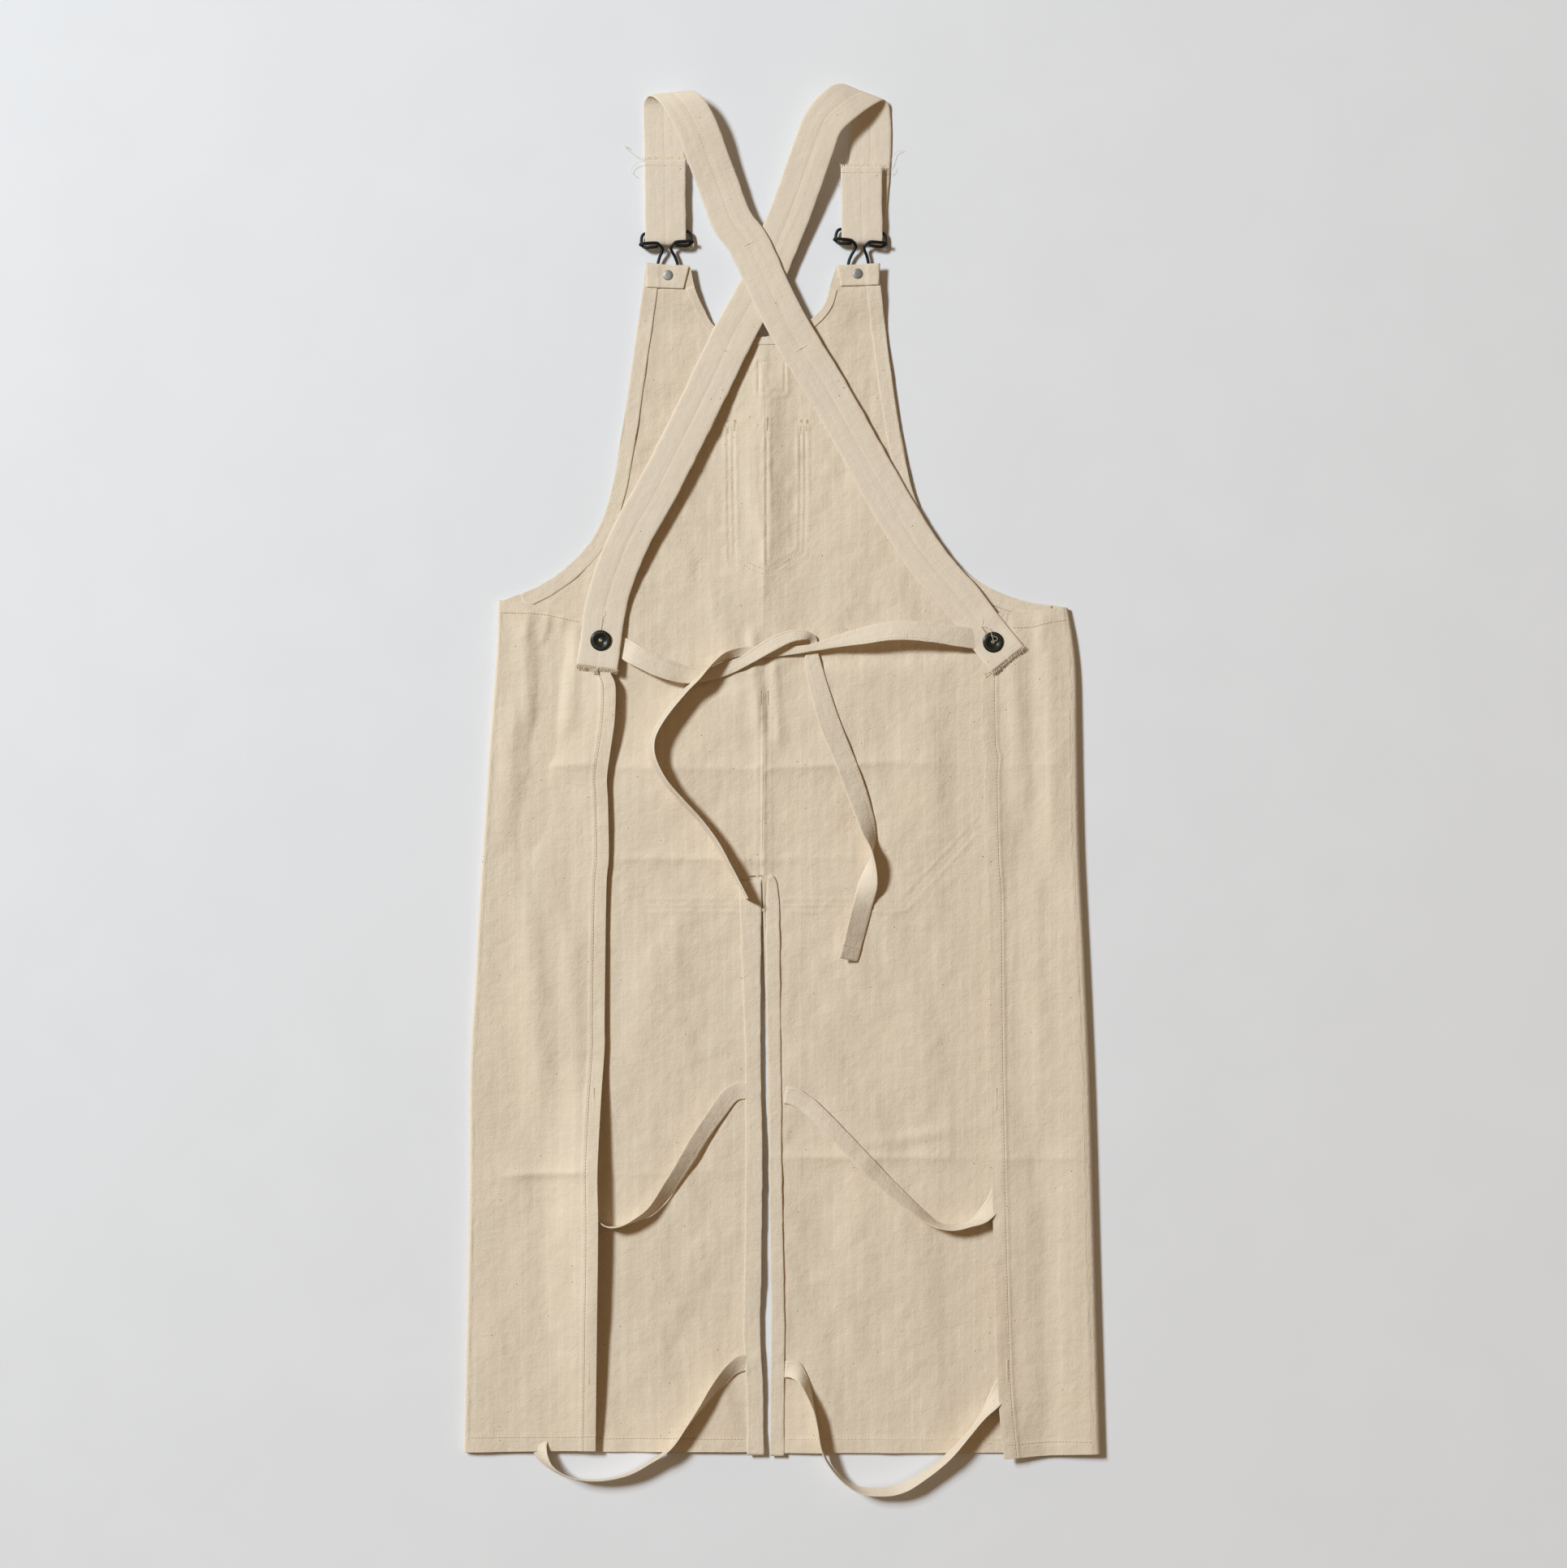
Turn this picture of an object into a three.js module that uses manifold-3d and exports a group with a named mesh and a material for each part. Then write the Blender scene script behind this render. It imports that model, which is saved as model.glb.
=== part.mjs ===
// Artist's smock apron of herringbone cotton, lying face down with its side wings folded over the back.
// Millimetres. +Z up from the table, +Y from the hem towards the shoulders, +X to the right as it is seen
// from above, looking at the inside of the cloth. The front pockets and the bib buttons are underneath.

import * as THREE from "three";
import { mergeVertices } from "three/addons/utils/BufferGeometryUtils.js";
import Module from "manifold-3d";

const wasm = await Module();
wasm.setup();

// ---------------------------------------------------------------- driving dimensions

const clothThickness = 0.8; // one layer of twill
const facingThickness = 0.6; // the narrow strips sewn round the edges
const strapThickness = 1.6; // a strap is a doubled cloth
const strapWidth = 38;
const tieWidth = 19;
const legTapeWidth = 16;
const tapeThickness = 0.8;
const wireDiameter = 2.3; // the buckles' blackened wire

const facingWidth = 13; // armholes
const necklineFacingWidth = 7;
const nailHoleRadius = 1.6; // where a button's nail goes through the cloth
const edgeInset = 0.6; // a facing stays this far inside the cloth's edge
const wingInset = 1; // the wing's fold stays this far inside the outline

// Heights of the middle of each layer above the table.
const pocketHeight = clothThickness / 2;
const panelHeight = 1.5;
const cornerRise = 5.1; // the bib's corners ride over their buttons and buckle wires
const facingHeight = 2.5;
const wingHeight = 5;
const strapEndHeight = 6.5; // a strap's end on its wing

const rampStart = 408; // the bib climbs from the table to its corners between these
const rampEnd = 443;

const waistButtons = { left: [-167, 120], right: [194, 118.5] };
const bibButtons = { left: [-105.2, 456.4], right: [69.4, 457.9] };
const buckleTurn = { left: 3, right: -5 }; // degrees, how each buckle lies on its button

// ---------------------------------------------------------------- materials

const makeMaterial = (color, roughness, metalness) =>
  new THREE.MeshStandardMaterial({ color, roughness, metalness });
const twill = makeMaterial(0xd9cbb2, 0.9, 0);
const strapTwill = makeMaterial(0xddd1bb, 0.9, 0);
const tape = makeMaterial(0xd6c7ac, 0.9, 0);
const facing = makeMaterial(0xcfbfa4, 0.9, 0);
const blackEnamel = makeMaterial(0x141312, 0.45, 0.6);
const nickel = makeMaterial(0xb9b6b0, 0.35, 0.9);

// ---------------------------------------------------------------- helpers

const garment = new THREE.Group();
const radians = THREE.MathUtils.degToRad;

function add(name, geometry, material) {
  const mesh = new THREE.Mesh(geometry, material);
  mesh.name = name;
  garment.add(mesh);
}

function solidOf(geometry) {
  const bare = new THREE.BufferGeometry().setAttribute("position", geometry.getAttribute("position").clone());
  if (geometry.index) bare.setIndex(geometry.index);
  const merged = mergeVertices(bare, 1e-4);
  return new wasm.Manifold(
    new wasm.Mesh({
      numProp: 3,
      vertProperties: merged.attributes.position.array,
      triVerts: new Uint32Array(merged.index.array),
    }),
  );
}

function geometryOf(solid) {
  const { vertProperties, triVerts } = solid.getMesh();
  const geometry = new THREE.BufferGeometry()
    .setAttribute("position", new THREE.BufferAttribute(vertProperties, 3))
    .setIndex(new THREE.BufferAttribute(triVerts, 1));
  geometry.computeVertexNormals();
  return geometry;
}

const cut = (geometry, ...tools) =>
  geometryOf(tools.reduce((left, tool) => left.subtract(solidOf(tool)), solidOf(geometry)));

const common = (geometry, other) => geometryOf(solidOf(geometry).intersect(solidOf(other)));

const smooth = (points) =>
  new THREE.CatmullRomCurve3(points.map(([x, y, z = 0]) => new THREE.Vector3(x, y, z)));

const flatPoints = (curve, steps, from = 0, to = 1) =>
  Array.from({ length: steps + 1 }, (_, i) => curve.getPoint(from + ((to - from) * i) / steps));

// A layer of cloth between two edges, each a function from 0..1 to a point in its middle surface.
function clothBetween(edgeA, edgeB, steps, thickness) {
  const geometry = new THREE.BoxGeometry(1, 1, 1, 1, steps, 1);
  const corners = geometry.getAttribute("position");
  const nudge = 1e-3;
  for (let i = 0; i < corners.count; i++) {
    const u = corners.getX(i) + 0.5;
    const v = corners.getY(i) + 0.5;
    const w = corners.getZ(i);
    const a = edgeA(v);
    const b = edgeB(v);
    const before = edgeA(Math.max(v - nudge, 0)).lerp(edgeB(Math.max(v - nudge, 0)), 0.5);
    const after = edgeA(Math.min(v + nudge, 1)).lerp(edgeB(Math.min(v + nudge, 1)), 0.5);
    const across = b.clone().sub(a);
    const normal = across.cross(after.sub(before)).normalize();
    const point = a.lerp(b, u).addScaledVector(normal, w * thickness);
    corners.setXYZ(i, point.x, point.y, point.z);
  }
  geometry.computeVertexNormals();
  return geometry;
}

// A strap or tape along stations [x, y, z, across, roll, width]: across is the direction of its width in
// the plane of the table and roll how far that tips up on edge, both in degrees. It may be only the stretch
// between from and to, as shares of the way.
function ribbon(stations, width, thickness, steps, from = 0, to = 1) {
  const centre = smooth(stations);
  const sides = smooth(stations.map(([, , , across, roll = 0, own = width]) => {
    const flat = Math.cos(radians(roll));
    return [
      (own / 2) * Math.cos(radians(across)) * flat,
      (own / 2) * Math.sin(radians(across)) * flat,
      (own / 2) * Math.sin(radians(roll)),
    ];
  }));
  const edge = (sign) => (v) => {
    const t = from + (to - from) * v;
    return centre.getPoint(t).addScaledVector(sides.getPoint(t), sign);
  };
  return clothBetween(edge(-1), edge(1), steps, thickness);
}

// Stations of a ribbon that keeps its width square to its way. A route gives [x, y, low, roll, width],
// low being the height of the ribbon's lower edge, and side is the side of the way its width points to.
function followed(route, side = -1) {
  const at = (i) => route[Math.min(Math.max(i, 0), route.length - 1)];
  return route.map(([x, y, low, roll = 0, width = tieWidth], i) => {
    const heading = Math.atan2(at(i + 1)[1] - at(i - 1)[1], at(i + 1)[0] - at(i - 1)[0]);
    const across = THREE.MathUtils.radToDeg(heading) + side * 90;
    return [x, y, low + (width / 2) * Math.sin(radians(roll)), across, roll, width];
  });
}

function plate(outline, low, thickness) {
  const corners = outline.map((point) => new THREE.Vector2(point.x ?? point[0], point.y ?? point[1]));
  const shape = new THREE.Shape(corners);
  return new THREE.ExtrudeGeometry(shape, { depth: thickness, bevelEnabled: false }).translate(0, 0, low);
}

function turned(profile, [x, y], segments = 24) {
  const points = profile.map(([radius, height]) => new THREE.Vector2(radius, height));
  return new THREE.LatheGeometry(points, segments).rotateX(Math.PI / 2).translate(x, y, 0);
}

function post([x, y], radius, low, high) {
  return turned([[0, low], [radius, low], [radius, high], [0, high]], [x, y], 16);
}

function wire(points, steps) {
  const section = new THREE.Shape().absarc(0, 0, wireDiameter / 2, 0, 2 * Math.PI);
  return new THREE.ExtrudeGeometry(section, { curveSegments: 4, steps, extrudePath: smooth(points) });
}

// ---------------------------------------------------------------- panel: bib and skirt in one piece

const leftOutline = smooth([
  [-292.5, -626], [-289, -440], [-287, -270], [-279, -120], [-270, 30], [-263, 112], [-260.5, 156],
  [-223, 172], [-193, 194], [-172, 220], [-158, 258], [-147, 318], [-136, 394], [-125.5, 466],
]);
const rightOutline = smooth([
  [292.5, -628], [288, -440], [282, -262], [277, -100], [273, 37], [269, 112], [262, 151],
  [221, 157.5], [181, 175], [150, 205], [123, 251], [108, 318], [97, 394], [89.5, 466],
]);
const neckline = smooth([
  [-85, 466], [-81, 447], [-75, 432], [-61.5, 409.5], [-38, 402], [-16, 400.5],
  [8, 403], [28, 418], [39, 431], [44, 447], [50, 466],
]);

// The slab that a layer of cloth is cut from. It lies flat up to the bib's corners, which rise.
function layer(height, thickness) {
  const rise = [[-700, 0], [rampStart, 0], [rampEnd, cornerRise], [700, cornerRise]];
  const under = rise.map(([y, up]) => new THREE.Vector2(y, height + up - thickness / 2));
  const over = rise.map(([y, up]) => new THREE.Vector2(y, height + up + thickness / 2));
  const side = new THREE.Shape([...under, ...over.reverse()]);
  const sideways = new THREE.Matrix4().makeBasis(
    new THREE.Vector3(0, 1, 0),
    new THREE.Vector3(0, 0, 1),
    new THREE.Vector3(1, 0, 0),
  );
  const slab = new THREE.ExtrudeGeometry(side, { depth: 600, bevelEnabled: false });
  return slab.translate(0, 0, -300).applyMatrix4(sideways);
}

const pieceOf = (outline, height, thickness) => common(layer(height, thickness), plate(outline, -5, 25));
const nailHole = (place) => post(place, nailHoleRadius, -5, 25);

const panelOutline = [
  ...flatPoints(leftOutline, 39),
  ...flatPoints(neckline, 22),
  ...flatPoints(rightOutline, 39).reverse(),
];
const slitOutline = [
  [-18.9, -126], [-20, -250], [-20, -450], [-18.5, -640],
  [-8.5, -640], [-10.5, -450], [-14, -250], [-17.4, -126],
];

add(
  "body_panel",
  cut(
    pieceOf(panelOutline, panelHeight, clothThickness),
    plate(slitOutline, -5, 25),
    nailHole(bibButtons.left),
    nailHole(bibButtons.right),
  ),
  twill,
);

// ---------------------------------------------------------------- facings and patches

// A strip along a curve's inner side, which is its left (1) or its right (-1) as the curve runs.
function stripOutline(curve, side, width, from, to, steps) {
  const offset = (distance) =>
    flatPoints(curve, steps, from, to).map((point, i) => {
      const tangent = curve.getTangent(from + ((to - from) * i) / steps);
      return point.add(new THREE.Vector3(-tangent.y, tangent.x, 0).setLength(distance * side));
    });
  return [...offset(edgeInset), ...offset(width).reverse()];
}

const strips = {
  neckline_facing: stripOutline(neckline, -1, necklineFacingWidth, 0.2, 0.8, 18),
  armhole_facing_left: stripOutline(leftOutline, -1, facingWidth, 0.48, 0.96, 20),
  armhole_facing_right: stripOutline(rightOutline, 1, facingWidth, 0.48, 0.96, 20),
  slit_facing_left: [
    [-20.6, -100], [-20.6, -250], [-20.6, -450], [-19.2, -625], [-28, -625], [-29, -450], [-29, -100],
  ],
  slit_facing_right: [
    [-16, -96], [-5.5, -96], [-3, -110], [0, -250], [1, -450], [1, -626], [-8, -626], [-9.9, -450], [-13.4, -250],
  ],
};
for (const [name, outline] of Object.entries(strips))
  add(name, pieceOf(outline, facingHeight, facingThickness), facing);

const patchHeight = facingHeight + 0.7; // the corner patches lie over the ends of the facings
const patchOutlines = {
  left: [[-124, 446], [-92, 444.5], [-87, 464.5], [-124, 465]],
  right: [[56, 446], [88, 446], [88.5, 465], [53.5, 464.5]],
};
for (const [side, outline] of Object.entries(patchOutlines))
  add(
    "bib_corner_patch_" + side,
    cut(pieceOf(outline, patchHeight, facingThickness), nailHole(bibButtons[side])),
    facing,
  );

// ---------------------------------------------------------------- front: pockets and label, under the panel

const pocketLow = pocketHeight - clothThickness / 2;
add("bib_pocket", plate([[-52, 317], [-50, 196], [-13.5, 181], [20, 196], [22.5, 317]], pocketLow, clothThickness), twill);
add(
  "waist_pocket",
  plate(
    [[-225, 75], [-225, -20], [-142, -112], [-127, -127.5], [109.5, -127.5], [124, -113], [225, 0], [225, 75]],
    pocketLow,
    clothThickness,
  ),
  twill,
);
add("label_patch", plate([[-22, 349], [2.5, 349], [2.5, 377], [-22, 377]], pocketLow, clothThickness), facing);

// ---------------------------------------------------------------- wings, folded over the panel

const leftWingFold = smooth([
  [-292.5 + wingInset, -626], [-288, -440], [-286, -270], [-278, -120], [-269, 30], [-262, 112], [-259, 158],
]);
const leftWingEdge = smooth([
  [-171, -626], [-169, -440], [-165, -270], [-162, -120], [-156.5, 30], [-154, 100], [-151.5, 136.5],
]);
const rightWingFold = smooth([
  [292.5 - wingInset, -628], [287, -440], [281, -262], [276, -100], [272, 37], [268, 112], [261, 150.5],
]);
const rightWingEdge = smooth([
  [204, -633], [195, -440], [191, -262], [189, -100], [187, 37], [187, 100], [190, 144.5],
]);
const level = (curve, height) => (v) => curve.getPoint(v).setZ(height);

function addWing(side, outer, inner) {
  const panel = clothBetween(outer, inner, 12, clothThickness);
  add("wing_" + side, cut(panel, nailHole(waistButtons[side])), twill);
}

addWing("left", level(leftWingFold, wingHeight), level(leftWingEdge, wingHeight));
addWing("right", level(rightWingEdge, wingHeight), level(rightWingFold, wingHeight));

// ---------------------------------------------------------------- straps

// Strap A goes from the left buckle over the crossing to the right wing, strap B the other way under it.
// Each is four pieces, so that its ends can move with the buckle and with the wing.
// The buckle end: from the free end down round the slide and back up beneath it.
const buckleEnds = {
  a: [
    [-108, 563, 7.2, 0], [-108, 525, 7, 0], [-107.5, 494, 7, 0], [-107.5, 487.5, 6.3, 0], [-107.5, 485.1, 4.25, 0],
    [-107.5, 487.5, 2.2, 0], [-108, 494, 1.4, 0], [-108, 525, 1.2, 0], [-108.3, 541, 1.2, 0],
  ],
  b: [
    [73, 556.5, 7.2, 0], [73, 525, 7, 0], [73.5, 495, 7, 0], [73.5, 488.5, 6.3, 0], [73.5, 486.1, 4.25, 0],
    [73.5, 488.5, 2.2, 0], [74, 495, 1.4, 0], [78, 525, 1.2, 0], [79.5, 541, 1.2, 0],
  ],
};
for (const [strap, stations] of Object.entries(buckleEnds))
  add("strap_" + strap + "_buckle_end", ribbon(stations, strapWidth, strapThickness, 26), strapTwill);

// The loop goes up from the buckle and turns over, and the run goes down across the back.
const loops = {
  a: [
    [-108.4, 545, 1.2, 0], [-108.7, 575, 1.2, 0], [-109.5, 606, 1.6, 1], [-108.5, 618, 4, 2], [-103, 623.5, 10, 6],
    [-92, 615, 16.5, 12], [-78.8, 592, 17.5, 20], [-69, 565.5, 15, 21],
  ],
  b: [
    [79.8, 545, 1.2, 0], [81.5, 575, 1.2, 0], [81, 606.6, 1.6, -4], [78, 621.6, 4.5, -14], [72, 624.1, 10, -26],
    [56, 614.6, 16.5, -42], [38.5, 597, 17.5, -36], [28, 571, 15.5, -22],
  ],
};
const runs = {
  a: [
    [-58.8, 539, 12.4], [-46.5, 506.5, 11.8], [-30.8, 484.5, 11.6], [-6.8, 432.8, 11.8], [12, 398, 10.6],
    [43.5, 346.5, 8.6], [77, 287, 7.6], [106.5, 235.5, 7.4], [135.8, 191, 7.2], [167, 155, 6.6],
  ],
  b: [
    [17, 540, 12.2], [5, 508, 9.4], [-6.8, 480, 8.4], [-21, 445.5, 8.6], [-45, 401, 10], [-80, 328.5, 12],
    [-114, 261, 12], [-136.5, 221, 11], [-153.8, 181.5, 9], [-162.6, 151, 7],
  ],
};
const loopShare = 0.44; // of a strap's way from its buckle end to its wing end
const hairGap = 0.001;
for (const strap of ["a", "b"]) {
  const stations = [...loops[strap], ...followed(runs[strap], 1).map((station) => station.slice(0, 4))];
  const stretch = (steps, from, to) => ribbon(stations, strapWidth, strapThickness, steps, from, to);
  add("strap_" + strap + "_loop", stretch(32, 0, loopShare), strapTwill);
  add("strap_" + strap + "_run", stretch(34, loopShare + hairGap, 1), strapTwill);
}

// The wing end: buttoned to the wing.
const wingEnds = {
  a: [[172, 149, strapEndHeight], [190, 124.5, strapEndHeight], [207.5, 102.5, strapEndHeight]],
  b: [[-163.8, 145.5, strapEndHeight], [-167, 120, strapEndHeight], [-170.5, 97, strapEndHeight]],
};
const wingOf = { a: "right", b: "left" };
for (const [strap, route] of Object.entries(wingEnds)) {
  const stations = followed(route).map((station) => station.slice(0, 4));
  const end = ribbon(stations, strapWidth, strapThickness, 3);
  add("strap_" + strap + "_wing_end", cut(end, nailHole(waistButtons[wingOf[strap]])), strapTwill);
}

// ---------------------------------------------------------------- buckles: a wire hanger and a wire slide

// Points are relative to the bib button's post. The hanger's teardrop loop hangs on the post, and its
// shoulders lie across the strap; the slide passes between the strap's two layers.
const halfHanger = [
  [-20.5, 31, 9.1], [-9.5, 30.8, 9.1], [-6.4, 28.6, 8.4], [-3.9, 24.3, 6.8], [-7.2, 17, 5.2], [-9.2, 9.5, 4.5],
  [-8, 1.5, 4.5], [-4.6, -3.2, 4.5],
];
const halfSlide = [
  [-9.2, 25.4, 3.2], [-19, 25.2, 3.2], [-22.6, 28.6, 3.6], [-23, 34, 4.2], [-21.4, 39, 4.2], [-16, 40.6, 4.2],
];
const mirrored = (half, ...middle) => [...half, ...middle, ...half.map(([x, y, z]) => [-x, y, z]).reverse()];
const hangerPoints = mirrored(halfHanger, [0, -4.7, 4.5]);
const slidePoints = mirrored(halfSlide, [0, 40.8, 4.2]);

function placed(points, side) {
  const turn = new THREE.Matrix4().makeRotationZ(radians(buckleTurn[side]));
  turn.setPosition(...bibButtons[side], 0);
  return points.map((point) => new THREE.Vector3(...point).applyMatrix4(turn).toArray());
}

for (const side of ["left", "right"]) {
  add("buckle_hanger_" + side, wire(placed(hangerPoints, side), 56), blackEnamel);
  add("buckle_slide_" + side, wire(placed(slidePoints, side), 40), blackEnamel);
}

// ---------------------------------------------------------------- tack buttons

// Heights along each button's axis: rim, raised ring and hollow middle of the head, then the shank.
const bibButtonProfile = [
  [0, 1.2], [3.2, 1.2], [3.8, 0.5], [7.2, 0.3], [8.5, 1], [8.5, 2.3], [7.4, 3], [3, 3], [3, 5.8], [0, 5.8],
];
const waistButtonProfile = [
  [0, 7.6], [3.2, 7.6], [3.2, 8.4], [8.4, 8.6], [9.5, 9.4], [9.5, 10.4], [8.2, 11.3], [4.4, 11.1], [3.6, 10.2], [0, 10.2],
];
const tackProfile = (diskLow, nailTip) => [
  [0, nailTip], [1.1, nailTip], [1.1, diskLow], [4.7, diskLow],
  [4.7, diskLow + 0.6], [3.6, diskLow + 1.2], [0, diskLow + 1.2],
];

const bibTackLow = patchHeight + cornerRise + facingThickness / 2 + 0.3;
const wingTackHigh = wingHeight - clothThickness / 2 - 0.3;
const waistTackProfile = [
  [0, wingTackHigh - 1.2], [4.7, wingTackHigh - 1.2], [4.7, wingTackHigh], [1.1, wingTackHigh], [1.1, 7.3], [0, 7.3],
];
for (const side of ["left", "right"]) {
  add("bib_button_" + side, turned(bibButtonProfile, bibButtons[side]), blackEnamel);
  add("bib_tack_" + side, turned(tackProfile(bibTackLow, 6.1), bibButtons[side], 20), nickel);
  add("waist_button_" + side, turned(waistButtonProfile, waistButtons[side]), blackEnamel);
  add("waist_tack_" + side, turned(waistTackProfile, waistButtons[side], 16), nickel);
}

// ---------------------------------------------------------------- waist ties and leg tapes

// Routes are [x, y, height of the lower edge, roll, width]. The two ties are half knotted behind the waist:
// the left one passes over the right one, turns down behind it and runs off to the right; the right one
// runs off to the left on its edge. In the knot both are bunched narrow.
const ties = {
  waist_tie_left: [
    [-148.5, 113.5, 4.6], [-134, 106, 4], [-108, 94, 3.2], [-85, 88.5, 3.2, 0, 14], [-62, 90.5, 3.2, 0, 8],
    [-45, 96.5, 4, 0, 8], [-30, 104, 8.4, 0, 9], [-14, 114, 9.4, 0, 12], [6, 123.5, 9.4, 0, 10], [20, 125, 8.6, 0, 8],
    [28, 122, 5.6, 0, 6], [29, 115, 3, 0, 7], [28, 100, 2.8, 0, 14], [42, 48.8, 2.8], [57, 11, 2.8],
    [70.5, -26, 3, 10], [80, -56, 3.4, 40], [83, -75, 3.4, 75], [79.5, -101, 3.4, 110], [73, -127.5, 3.2, 145],
    [61, -174, 3, 160],
  ],
  waist_tie_right: [
    [181, 121.5, 4.6], [162, 123.8, 4], [132, 128, 3.2], [102, 129, 3.2], [73, 124, 3.8, 10, 14],
    [49.5, 119, 5.4, 0, 8], [27, 113.5, 5.8, 0, 4], [4.5, 110.5, 6, 0, 5], [-18, 109, 6, 0, 5],
    [-34, 110.5, 5, 0, 5], [-50, 106.5, 5.6, 50, 9], [-63, 98.5, 5, 80, 14], [-76.5, 86, 4.2, 90],
    [-89, 74, 3.4, 90], [-106, 54, 2.6, 90], [-117, 36, 2.6, 90], [-120, 22.5, 2.6, 90], [-117, 8.3, 2.6, 90],
    [-107, -10, 2.6, 90], [-92.5, -27, 2.6, 90], [-76, -45, 2.6, 90], [-61.5, -64.3, 2.6, 90],
    [-49, -86, 2.6, 90], [-31.8, -118, 2.8, 90],
  ],
};
for (const [name, route] of Object.entries(ties))
  add(name, ribbon(followed(route), tieWidth, tapeThickness, 46), tape);

// Each leg tape is sewn to the slit's facing, stands on its edge across the skirt and goes under its wing.
const stand = (points) => points.map(([x, y]) => [x, y, 2.6, 90, legTapeWidth]);
const lie = (points) => points.map(([x, y, roll = 0]) => [x, y, 3.1, roll, legTapeWidth]);
const legTapes = {
  leg_tape_upper_left: [
    ...lie([[-30.5, -295], [-40.5, -295, 12], [-50, -301, 45]]),
    ...stand([[-61.5, -316.5], [-75.8, -337], [-90.8, -362], [-105, -384], [-119, -402.8]]),
    ...lie([[-133.5, -412.5, 60], [-148, -418.5, 10], [-161, -419], [-176, -409], [-182, -385], [-181, -345], [-176, -308]]),
  ],
  leg_tape_upper_right: [
    ...lie([[2.4, -299], [12.8, -301], [29, -313, 12], [43.5, -327, 45]]),
    ...stand([[58.5, -342], [73.5, -357.8], [104.3, -388.5], [127.5, -408]]),
    ...lie([[142.5, -417.5, 60], [157, -419.5, 25], [172, -416], [190, -405], [205, -385], [208, -345], [204, -306]]),
  ],
  leg_tape_lower_left: [
    ...lie([[-30.2, -546], [-38, -546, 12], [-50, -554, 50]]),
    ...stand([[-63.8, -570], [-73.5, -583.5], [-87, -602], [-102, -622], [-121.5, -636]]),
    ...stand([[-140, -646.5], [-160, -652], [-178.5, -653]]),
    ...lie([[-196, -650, 50], [-213, -641, 10], [-222, -622], [-214, -598], [-196, -574], [-182, -556]]),
  ],
  leg_tape_lower_right: [
    ...lie([[2.4, -551.5], [12, -552, 20], [21, -563, 60]]),
    ...stand([[28.5, -585], [32.3, -602], [36.8, -625.5], [48.8, -646], [66.8, -660], [84.8, -663.5]]),
    ...stand([[108, -661], [131, -648], [151.5, -632]]),
    ...lie([[168, -613, 65], [181, -596, 10], [194, -580], [203, -568], [209, -556]]),
  ],
};
for (const [name, route] of Object.entries(legTapes))
  add(name, ribbon(followed(route), legTapeWidth, tapeThickness, 56), tape);

export default garment;
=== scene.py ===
"""An artist's cross-back apron of herringbone cotton, lying face down, its side wings folded over its back.

Millimetres in the row frame everywhere, turned into metres when a mesh is made."""

import math

import bpy
import numpy as np
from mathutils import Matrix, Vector


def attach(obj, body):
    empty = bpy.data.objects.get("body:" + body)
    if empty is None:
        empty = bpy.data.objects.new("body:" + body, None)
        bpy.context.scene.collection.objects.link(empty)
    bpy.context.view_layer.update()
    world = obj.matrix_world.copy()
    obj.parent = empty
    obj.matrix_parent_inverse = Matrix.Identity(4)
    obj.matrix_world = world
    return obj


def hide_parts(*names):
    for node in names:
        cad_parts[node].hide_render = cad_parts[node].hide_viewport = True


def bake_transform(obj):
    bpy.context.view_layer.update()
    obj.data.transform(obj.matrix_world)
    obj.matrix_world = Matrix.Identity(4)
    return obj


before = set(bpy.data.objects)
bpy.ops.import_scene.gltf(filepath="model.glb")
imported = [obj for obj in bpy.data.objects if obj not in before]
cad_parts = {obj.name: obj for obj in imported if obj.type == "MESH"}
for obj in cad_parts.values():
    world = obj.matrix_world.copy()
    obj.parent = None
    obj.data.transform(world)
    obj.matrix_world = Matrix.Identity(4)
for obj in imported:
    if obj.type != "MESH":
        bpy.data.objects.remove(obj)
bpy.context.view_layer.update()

MM = 0.001
rng = np.random.default_rng(11)

# ---------------------------------------------------------------- camera, light and floor

CAMERA_HEIGHT = 3.0
VIEW_WIDTH = 1.448
camera_data = bpy.data.cameras.new("camera")
camera_data.sensor_width = 36
camera_data.lens = 36 * CAMERA_HEIGHT / VIEW_WIDTH
camera = bpy.data.objects.new("camera", camera_data)
camera.location = (0.0011, -0.012, CAMERA_HEIGHT)
bpy.context.collection.objects.link(camera)
bpy.context.scene.camera = camera
bpy.context.scene.view_settings.view_transform = "Standard"

TO_LIGHT = np.array([-0.60, 0.375, 0.707])


def look_along(direction):
    return Vector(direction).to_track_quat("-Z", "Y").to_euler()


def light(name, kind, energy, place, **settings):
    """A light at a place, shining at the middle of the apron."""
    data = bpy.data.lights.new(name, kind)
    data.energy = energy
    for key, value in settings.items():
        setattr(data, key, value)
    obj = bpy.data.objects.new(name, data)
    obj.location = place
    obj.rotation_euler = look_along(-np.array(place))
    bpy.context.collection.objects.link(obj)
    return obj


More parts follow.
